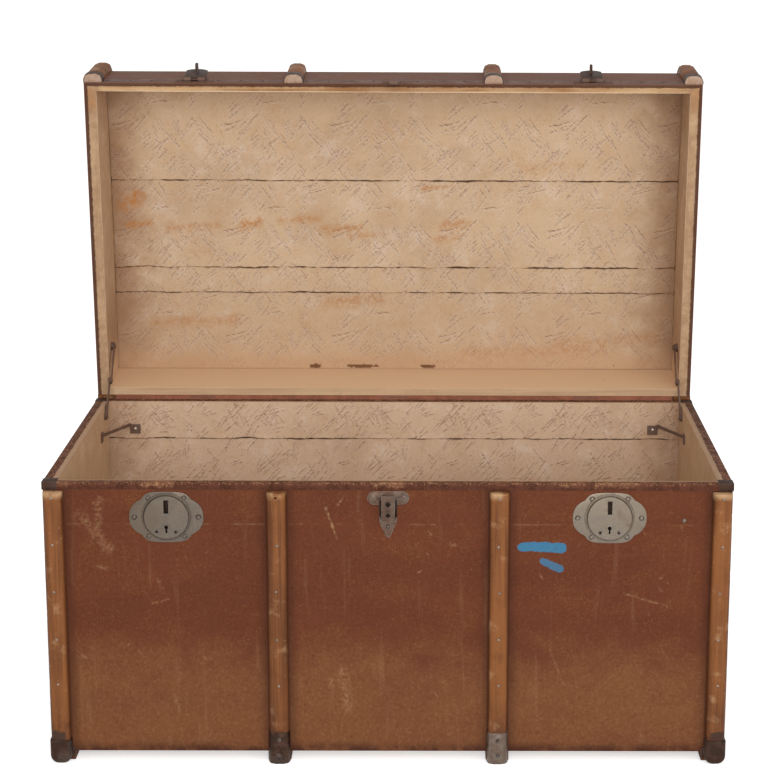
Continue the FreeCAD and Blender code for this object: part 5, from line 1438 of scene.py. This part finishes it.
class TRUNK_OT_rims(Step):
    """Bind the rims of the chest and the lid with worn tape and steel corners"""

    bl_idname = "trunk.rims"
    bl_label = "Rims"

    # How far the outer cloth reaches down the chest, and the space it leaves beside the middle of
    # a batten and beside a hinge leaf
    CLOTH_DROP, BATTEN_SPACE, LEAF_SPACE = 0.0090, 0.0160, 0.001

    def build(self, size, palette):
        chest = finished("chest_tape", tape_material, palette.tape, True)
        lid = finished("lid_tape", tape_material, palette.lid_tape, False)
        finish(softened("chest_rim_tape", 0.0004), "chest", "tape", chest, "chest_rim_tape")
        finish(softened("lid_rim_tape", 0.0003), "lid", "tape", lid, "lid_rim_tape")
        finish(softened("rim_corner_caps", 0.0003), "chest", "dark_steel", rusty_steel(), "rim_corner_caps")
        strip = self.hinge_cloth(solid_boxes("hinge_chest_leaves"))
        strip.data.materials.append(finished("hinge_cloth", tape_material, palette.hinge_cloth, False))
        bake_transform(strip)

    def hinge_cloth(self, leaves):
        """The cloth glued over the gap of the hinge line: strips outside, and one long strip inside."""
        face = BACK + 0.0002
        line = [Vector((0, face, RIM - drop)) for drop in (self.CLOTH_DROP, 0.0002)]
        line += [opened((0, face, LID_RIM_CLOSED + rise)) for rise in (0.0006, 0.0022)]
        blocked = sorted(
            [(low.x - self.LEAF_SPACE, high.x + self.LEAF_SPACE) for low, high in leaves]
            + [(place - self.BATTEN_SPACE, place + self.BATTEN_SPACE) for place in BATTEN_PLACES]
        )
        strips = []
        for (_, start), (end, _) in zip(blocked, blocked[1:]):
            if end - start > 0.02:
                strips.append(self.strip(line, start, end))
        edge = BACK - 0.0015
        inner = [Vector((0, edge, RIM - 0.0004)), opened((0, edge, LID_RIM_CLOSED + 0.0004))]
        strips.append(self.strip(inner, blocked[0][1], blocked[-1][0]))
        return joined("hinge_cloth", strips)

    def strip(self, line, start, end):
        """A thin closed strip along x whose section follows a line, bent smoothly."""
        outline = []
        for first, second in zip(line, line[1:]):
            outline += [first.lerp(second, share / 4) for share in range(4)]
        outline.append(line[-1])
        bpy.ops.object.select_all(action="DESELECT")
        bpy.ops.mesh.primitive_grid_add(x_subdivisions=30, y_subdivisions=len(outline) - 1, size=1)
        piece = named("strip")
        for vertex in piece.data.vertices:
            point = outline[round((vertex.co.y + 0.5) * (len(outline) - 1))]
            vertex.co = (start + (vertex.co.x + 0.5) * (end - start), point.y, point.z)
        closed_behind(piece, (0, 0.0005, -0.0005))
        return smooth(outward(piece), 60)


def hardware(rows):
    """Softened copies of CAD hardware; a row is node, body, width, slot and material."""
    for node, body, width, slot, material in rows:
        finish(softened(node, width), body, slot, material, node)


class TRUNK_OT_locks(Step):
    """Shape and tarnish the nickel locks, and set their rivets"""

    bl_idname = "trunk.locks"
    bl_label = "Locks"

    # One quarter of the plate's outline, in millimetres from its middle
    CORNER = [(0, 38.2), (9, 38.0), (17, 37.6), (24, 36.6), (29.5, 34.2), (33.0, 31.0), (35.2, 28.2),
              (36.4, 26.4), (39.0, 25.2), (42.5, 23.2), (46.0, 20.4), (49.4, 16.6), (52.0, 11.8), (53.5, 6.0)]
    DISC, DISC_EDGE, SKIRT = 0.0353, 0.0345, 0.00125
    # Small holes low on the disc: how far they lie to the side and below its middle
    HOLE_ACROSS, HOLE_DOWN = 0.0137, 0.0215
    RIVET_RISE = 0.0018

    def build(self, size, palette):
        holes = []
        for side in ("left", "right"):
            low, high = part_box(f"lock_plate_{side}")
            middle = centre((low, high))
            disc = softened(f"lock_plate_{side}", 0.0005, segments=3)
            self.cut(disc, "INTERSECT", middle, self.DISC)
            skirt = self.skirt(middle, high.y)
            self.cut(skirt, "DIFFERENCE", middle, self.DISC_EDGE)
            plate = joined(f"lock_plate_{side}_finished", [smooth(disc, 40), smooth(skirt, 40)])
            finish(plate, "chest", "nickel", nickel(), f"lock_plate_{side}")
            self.foot_ring(side, middle, high.y)
            dress([f"lock_case_{side}", f"lock_bolt_{side}"], dark_steel())
            for across in (-self.HOLE_ACROSS, self.HOLE_ACROSS):
                point = (middle.x + across, low.y + 0.0002, middle.z - self.HOLE_DOWN)
                holes.append(facing((0, -1, 0), point))
        places = []
        for low, high in solid_boxes("lock_rivets"):
            point = centre((low, high))
            point.y = high.y
            places.append(facing((0, -1, 0), point))
        rivets = copies("lock_rivet_heads", dome(size.rivet_radius, self.RIVET_RISE), places)
        finish(rivets, "chest", "nickel", nickel(), "lock_rivets")
        rings = [place @ Matrix.Diagonal((1.25, 1.25, 0.25, 1)) for place in places]
        dirt = copies("rivet_dirt", dome(size.rivet_radius, self.RIVET_RISE), rings)
        finish(dirt, "chest", "dark_steel", old_dirt())
        # Dark discs for the two holes low on each disc: painted shade.
        dark = copies("lock_disc_holes", dome(0.0026, 0.0005), holes)
        finish(dark, "chest", "dark_steel", old_dirt())

    def skirt(self, middle, back):
        """The flat plate round the disc, with round lobes and a notched step at each corner."""
        quarter = [(x / 1000, z / 1000) for x, z in self.CORNER]
        half = quarter + [(0.054, 0.0)] + [(x, -z) for x, z in reversed(quarter)]
        outline = half + [(-x, z) for x, z in reversed(half[1:-1])]
        bpy.ops.object.select_all(action="DESELECT")
        bpy.ops.mesh.primitive_circle_add(vertices=len(outline), radius=0.05, fill_type="NGON")
        piece = named("skirt")
        for vertex, (x, z) in zip(piece.data.vertices, outline):
            vertex.co = (middle.x + x, back, middle.z + z)
        shape(
            piece, "FACE", everything,
            lambda: bpy.ops.mesh.extrude_region_move(TRANSFORM_OT_translate={"value": (0, -self.SKIRT, 0)}),
        )
        outward(piece)
        return bevelled(piece, lambda edge: lies_at(edge, 1, back - self.SKIRT), 0.0006, 2)

    def cut(self, piece, operation, middle, radius):
        """Cuts a piece with a cylinder that stands through the plate."""
        bpy.ops.object.select_all(action="DESELECT")
        bpy.ops.mesh.primitive_cylinder_add(
            vertices=96, radius=radius, depth=0.05, location=middle, rotation=(math.radians(90), 0, 0),
        )
        drum = settle(named("drum"))
        modify(piece, "BOOLEAN", operation=operation, object=drum, solver="EXACT")
        bpy.data.objects.remove(drum)

    def foot_ring(self, side, middle, back):
        """The rolled bead round the foot of a lock's disc."""
        bpy.ops.object.select_all(action="DESELECT")
        bpy.ops.mesh.primitive_torus_add(
            location=(middle.x, back - 0.0015, middle.z), rotation=(math.radians(90), 0, 0),
            major_radius=0.0354, minor_radius=0.0010, major_segments=64, minor_segments=8,
        )
        ring = smooth(settle(named(f"lock_bead_{side}")), 60)
        finish(ring, "chest", "nickel", nickel())


class TRUNK_OT_hasps(Step):
    """Round and brown the hasps of the lid, and the centre catch with its keeper"""

    bl_idname = "trunk.hasps"
    bl_label = "Hasps and catch"

    LEVER_HOLES = (0.4012, 0.3852)
    # Dark strips of painted shadow beside the lever: place and half width along x, lowest, seat and highest z
    GRIME_PLACE, GRIME_HALF, GRIME_HEIGHTS = 0.0116, 0.0013, (0.378, 0.392, 0.4035)
    RIVET_HEIGHT = 0.3636

    def build(self, size, palette):
        dark, base = dark_steel(), dull_steel()
        catch = finished("catch_steel", steel_material, palette.catch, 0.9, 0.36, 0.9, 110.0, edge=1.0)
        hardware([
            ("hasp_bases", "lid", 0.0004, "aged_steel", base),
            ("hasp_left", "hasp_left", 0.0004, "dark_steel", dark),
            ("hasp_right", "hasp_right", 0.0004, "dark_steel", dark),
            ("hasp_pins", "lid", 0.0002, "dark_steel", dark),
            ("catch_base", "chest", 0.0004, "aged_steel", catch),
            ("catch_lever", "catch_lever", 0.0004, "aged_steel", catch),
            ("catch_pin", "chest", 0.0002, "aged_steel", catch),
            ("catch_keeper", "lid", 0.0003, "aged_steel", base),
        ])
        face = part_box("catch_lever")[0].y - 0.0001
        places = [facing((0, -1, 0), (0, face, height)) for height in self.LEVER_HOLES]
        # Dark diamonds in the lever's holes: painted shade.
        holes = copies("lever_hole_shade", self.diamond(0.0045), places)
        finish(holes, "catch_lever", "dark_steel", old_dirt())
        plate = node_surface("catch_base")

        def on_plate(x, z):
            return plate.ray_cast(Vector((x, -1, z)), Vector((0, 1, 0)))[0]

        half, (lowest, seat, highest) = self.GRIME_HALF, self.GRIME_HEIGHTS
        # Two thin dark strips on the plate beside the lever: painted shadow.
        strips = []
        for x in (-self.GRIME_PLACE, self.GRIME_PLACE):
            y = on_plate(x, seat).y
            strips.append(block("strip", (x - half, y - 0.0002, lowest), (x + half, y + 0.0002, highest)))
        finish(joined("catch_lever_shadow", strips), "chest", "dark_steel", old_dirt())
        place = facing((0, -1, 0), on_plate(0, self.RIVET_HEIGHT))
        finish(copies("catch_rivet", dome(0.0026, 0.0012), [place]), "chest", "aged_steel", catch)
        ring = copies("catch_rivet_dirt", dome(0.0040, 0.0004), [place])
        finish(ring, "chest", "dark_steel", old_dirt())

    def diamond(self, reach):
        """A thin dark diamond on z = 0."""
        bpy.ops.object.select_all(action="DESELECT")
        bpy.ops.mesh.primitive_cylinder_add(vertices=4, radius=reach, depth=0.0004)
        return settle(named("diamond"))


class TRUNK_OT_toes(Step):
    """Rust and round the toe caps and the caps of the lid battens, and set their screws"""

    bl_idname = "trunk.toes"
    bl_label = "Toe caps"

    # The inner side of a corner cap along x, the reach, rise and heights of its ear
    INNER, EAR, EAR_RISE, EAR_HEIGHTS = 0.4698, 0.0036, 0.0012, (0.006, 0.020)

    def build(self, size, palette):
        middle = finished(
            "toe_steel", steel_material, palette.toe_dark, 0.9, 0.44, 0.7, 90.0, right_tint=palette.toe_light,
        )
        hardware([
            ("middle_toe_caps", "chest", 0.0007, "dark_steel", middle),
            ("lid_batten_caps", "lid", 0.0004, "dark_steel", dark_steel()),
        ])
        caps = [self.corner_cap(*box) for box in solid_boxes("corner_toe_caps")]
        finish(joined("worn_corner_toe_caps", caps), "chest", "dark_steel", rusty_steel(), "corner_toe_caps")
        places = []
        for low, high in solid_boxes("middle_toe_caps"):
            way, face = (-1, low.y) if low.y < 0 else (1, high.y)
            for height in (high.z - 0.011, 0.014):
                point = (centre((low, high)).x, face, height)
                places.append(facing((0, way, 0), point, height * 90))
        screws = copies("toe_screws", self.screw(0.0026, 0.0010), places)
        finish(screws, "chest", "dark_steel", dark_steel())
        dirt = copies("screw_dirt", dome(0.0034, 0.0004), places)
        finish(dirt, "chest", "dark_steel", old_dirt())

    def corner_cap(self, low, high):
        """A pressed cap round a corner batten's foot, rounded below, with a small ear."""
        side = -1 if low.x < 0 else 1
        outer = max(abs(low.x), abs(high.x))
        edges = sorted((side * self.INNER, side * outer))
        cap = block("cap", (edges[0], low.y, 0), (edges[1], high.y, high.z))
        way, face, wall = (-1, low.y, FRONT) if low.y < 0 else (1, high.y, BACK)

        def across_foot(edge):
            return lies_at(edge, 2, 0) and abs(edge.verts[0].co.y - edge.verts[1].co.y) > 0.01

        bevelled(cap, across_foot, 0.0125, 6)
        bevelled(cap, lambda edge: lies_at(edge, 1, face) and not lies_at(edge, 2, high.z), 0.0055, 4)
        ear_x = sorted((side * self.INNER, side * (self.INNER - self.EAR)))
        ear_y = sorted((wall, wall + way * self.EAR_RISE))
        foot, top = self.EAR_HEIGHTS
        ear = block("ear", (ear_x[0], ear_y[0], foot), (ear_x[1], ear_y[1], top))
        return smooth(joined("corner_cap", [outward(cap), ear]), 35)

    def screw(self, radius, rise):
        """A slotted screw head on z = 0."""
        bpy.ops.object.select_all(action="DESELECT")
        bpy.ops.mesh.primitive_cylinder_add(vertices=20, radius=radius, depth=rise, location=(0, 0, rise / 2))
        head = settle(named("screw"))
        bevelled(head, lambda edge: lies_at(edge, 2, rise), rise * 0.5, 2)
        half, width = radius * 1.2, radius * 0.13
        cutter = block("slot", (-half, -width, rise * 0.45), (half, width, rise * 2))
        modify(head, "BOOLEAN", operation="DIFFERENCE", object=cutter, solver="EXACT")
        bpy.data.objects.remove(cutter)
        return smooth(head, 40)


class TRUNK_OT_fittings(Step):
    """Finish the hinges, lid stays, tray brackets and end handles"""

    bl_idname = "trunk.fittings"
    bl_label = "Fittings"

    # A tray bracket: width of its tabs, thickness, half height of its bar, how far the end wall's
    # tab stands forward and up, how far the bar stands up, and the rivet's place beside the tab
    FLANGE, SHEET, BAR, FORWARD = 0.0178, 0.0020, 0.0024, 0.009
    TAB_UP, BAR_UP, RIVET = 0.006, 0.002, 0.009

    def build(self, size, palette):
        dark, brown = dark_steel(), dull_steel()
        rows = [
            ("hinge_chest_leaves", "chest", 0.0003, "aged_steel", brown),
            ("hinge_lid_leaves", "lid", 0.0003, "aged_steel", brown),
            ("hinge_pins", "chest", 0.0002, "dark_steel", brown),
            ("stay_chest_pivots", "chest", 0.0003, "aged_steel", brown),
            ("stay_lid_pivots", "lid", 0.0003, "aged_steel", brown),
        ]
        for side in ("left", "right"):
            rows += [
                (f"stay_lower_arm_{side}", f"stay_lower_{side}", 0.0003, "aged_steel", brown),
                (f"stay_upper_arm_{side}", f"stay_upper_{side}", 0.0003, "dark_steel", brown),
                (f"handle_plate_{side}", "chest", 0.0005, "dark_steel", dark),
                (f"handle_bail_{side}", f"handle_{side}", 0.0006, "dark_steel", dark),
            ]
        hardware(rows)
        boxes = solid_boxes("tray_brackets")
        brackets = joined("tray_bracket_bars", [self.bracket(low, high) for low, high in boxes])
        finish(brackets, "chest", "dark_steel", brown, "tray_brackets")
        places = []
        for low, high in boxes:
            if low.y < 0:
                way, face = (0, 1, 0), low.y + self.SHEET
            else:
                way, face = (0, -1, 0), high.y - self.SHEET
            inner = high.x if low.x < 0 else low.x
            spot = inner + math.copysign(self.RIVET, inner)
            places.append(facing(way, (spot, face, centre((low, high)).z)))
        rivets = copies("bracket_rivets", dome(0.0034, 0.0013), places)
        finish(rivets, "chest", "aged_steel", aged_steel())

    def bracket(self, low, high):
        """A corner bracket: a tab on each wall and a thin bar between them."""
        side = -1 if low.x < 0 else 1
        back = low.y > 0
        wall_x, inner_x = (low.x, high.x) if side < 0 else (high.x, low.x)
        wall_y, inner_y = (high.y, low.y) if back else (low.y, high.y)
        toward_y = -1 if back else 1
        sheet_x, sheet_y = side * self.SHEET, toward_y * self.SHEET
        near, far = toward_y * self.FORWARD, toward_y * (self.FLANGE + self.FORWARD)
        ends = [
            ((inner_x, wall_y), (inner_x + side * self.FLANGE, wall_y + sheet_y)),
            ((wall_x - sheet_x, inner_y - far), (wall_x, inner_y - near)),
        ]
        pieces = []
        for (first, second), lift in zip(ends, (0.0, self.TAB_UP)):
            (left, right), (front, rear) = [sorted(pair) for pair in zip(first, second)]
            pieces.append(block("tab", (left, front, low.z + lift), (right, rear, high.z + lift)))
        start = Vector((inner_x + side * self.FLANGE * 0.9, wall_y + sheet_y * 0.5))
        end_y = inner_y - toward_y * (self.FLANGE * 0.9 + self.FORWARD)
        end = Vector((wall_x - sheet_x * 0.5, end_y))
        middle, reach = (start + end) / 2, end - start
        half = Vector((reach.length / 2, self.SHEET / 2, self.BAR))
        bar = block("bar", -half, half)
        bar.data.transform(
            Matrix.Translation((middle.x, middle.y, high.z - self.BAR + self.BAR_UP))
            @ Matrix.Rotation(math.atan2(reach.y, reach.x), 4, "Z")
        )
        return joined("bracket", pieces + [bar])


CAMERA = {"place": (0.0603, -3.3295, 1.2572), "down": 12.928, "left": -0.412, "roll": 0.260}
CAMERA_LENS = 99.03
CAMERA_SHIFT = (-0.0706, -0.0022)
LAMPS = {
    # place, target, width, power
    "key": ((0.1, -4.0, 1.9), (0, -0.1, 0.45), 3.0, 84),
    "fill": ((2.6, -3.2, 1.5), (0, 0, 0.4), 2.4, 26),
    "top": ((0.2, -0.8, 3.4), (0, 0, 0.3), 2.6, 14),
}


class TRUNK_OT_stage(Step):
    """Set the pale floor, the soft lamps and the camera"""

    bl_idname = "trunk.stage"
    bl_label = "Stage"

    def build(self, size, palette):
        self.floor(palette)
        self.world()
        for name, settings in LAMPS.items():
            self.lamp(name, *settings)
        data = bpy.data.cameras.new("camera")
        data.sensor_fit = "HORIZONTAL"
        data.sensor_width = 36
        data.lens = CAMERA_LENS
        data.shift_x, data.shift_y = CAMERA_SHIFT
        data.clip_end = 100
        camera = bpy.data.objects.new("camera", data)
        bpy.context.scene.collection.objects.link(camera)
        camera.location = CAMERA["place"]
        turn = Euler((math.radians(90 - CAMERA["down"]), 0, math.radians(CAMERA["left"]))).to_matrix()
        turn = turn @ Matrix.Rotation(math.radians(CAMERA["roll"]), 3, "Z")
        camera.rotation_euler = turn.to_euler()
        bpy.context.scene.camera = camera
        bpy.context.scene.view_settings.view_transform = "Standard"

    def floor(self, palette):
        """A wide floor that shows white to the camera and keeps the trunk's shadow."""
        bpy.ops.object.select_all(action="DESELECT")
        bpy.ops.mesh.primitive_plane_add(size=60, location=(0, 0, 0))
        floor = settle(named("floor"))
        material = bpy.data.materials.new("studio_floor")
        material.use_nodes = True
        material.node_tree.nodes.clear()
        tools = Shader(material.node_tree)
        seen = tools.add("ShaderNodeLightPath").outputs
        seen = tools.larger(seen["Is Camera Ray"], seen["Is Glossy Ray"])
        shader = tools.add("ShaderNodeBsdfPrincipled", {"Roughness": 0.9})
        tools.feed(shader.inputs["Base Color"], tools.mix(seen, (0.62, 0.62, 0.62, 1), palette.floor))
        shader.inputs["Emission Color"].default_value = (1, 1, 1, 1)
        tools.feed(shader.inputs["Emission Strength"], tools.times(seen, 0.52))
        tools.add("ShaderNodeOutputMaterial", {"Surface": shader.outputs[0]})
        floor.data.materials.append(material)

    def world(self):
        world = bpy.data.worlds.new("studio")
        world.use_nodes = True
        world.node_tree.nodes.clear()
        tools = Shader(world.node_tree)
        seen = tools.add("ShaderNodeLightPath").outputs
        white = tools.add("ShaderNodeBackground", {"Color": (1, 1, 1, 1), "Strength": 1.0})
        soft = tools.add("ShaderNodeBackground", {"Color": (1, 0.985, 0.965, 1), "Strength": 0.70})
        choice = tools.add("ShaderNodeMixShader", {0: seen["Is Camera Ray"], 1: soft.outputs[0],
                                                   2: white.outputs[0]})
        tools.add("ShaderNodeOutputWorld", {"Surface": choice.outputs[0]})
        bpy.context.scene.world = world

    def lamp(self, name, place, target, size, power):
        data = bpy.data.lights.new(name, "AREA")
        data.shape = "DISK"
        data.size = size
        data.energy = power
        lamp = bpy.data.objects.new(name, data)
        bpy.context.scene.collection.objects.link(lamp)
        lamp.location = place
        lamp.rotation_euler = (Vector(target) - Vector(place)).to_track_quat("-Z", "Y").to_euler()


# ---- the add-on -----------------------------------------------------------------------

STEPS = (
    TRUNK_OT_stage, TRUNK_OT_boards, TRUNK_OT_canvas, TRUNK_OT_battens, TRUNK_OT_nails,
    TRUNK_OT_lid_paper, TRUNK_OT_chest_paper, TRUNK_OT_rims, TRUNK_OT_locks, TRUNK_OT_hasps,
    TRUNK_OT_toes, TRUNK_OT_fittings,
)


class TRUNK_PT_sidebar(bpy.types.Panel):
    """Lists the trunk's steps, sizes and colours"""

    bl_idname = "TRUNK_PT_sidebar"
    bl_label = "Dome Top Trunk"
    bl_space_type = "VIEW_3D"
    bl_region_type = "UI"
    bl_category = "Trunk"

    def draw(self, context):
        for step in STEPS:
            self.layout.operator(step.bl_idname)
        for settings in (context.scene.trunk_sizes, context.scene.trunk_colours):
            for name in settings.__annotations__:
                self.layout.prop(settings, name)


CLASSES = (TrunkSizes, TrunkColours) + STEPS + (TRUNK_PT_sidebar,)


def register():
    for each in CLASSES:
        bpy.utils.register_class(each)
    bpy.types.Scene.trunk_sizes = PointerProperty(type=TrunkSizes)
    bpy.types.Scene.trunk_colours = PointerProperty(type=TrunkColours)


def unregister():
    del bpy.types.Scene.trunk_colours
    del bpy.types.Scene.trunk_sizes
    for each in reversed(CLASSES):
        bpy.utils.unregister_class(each)


def main():
    register()
    for step in STEPS:
        group_name, operator = step.bl_idname.split(".")
        getattr(getattr(bpy.ops, group_name), operator)()


if __name__ == "__main__":
    main()
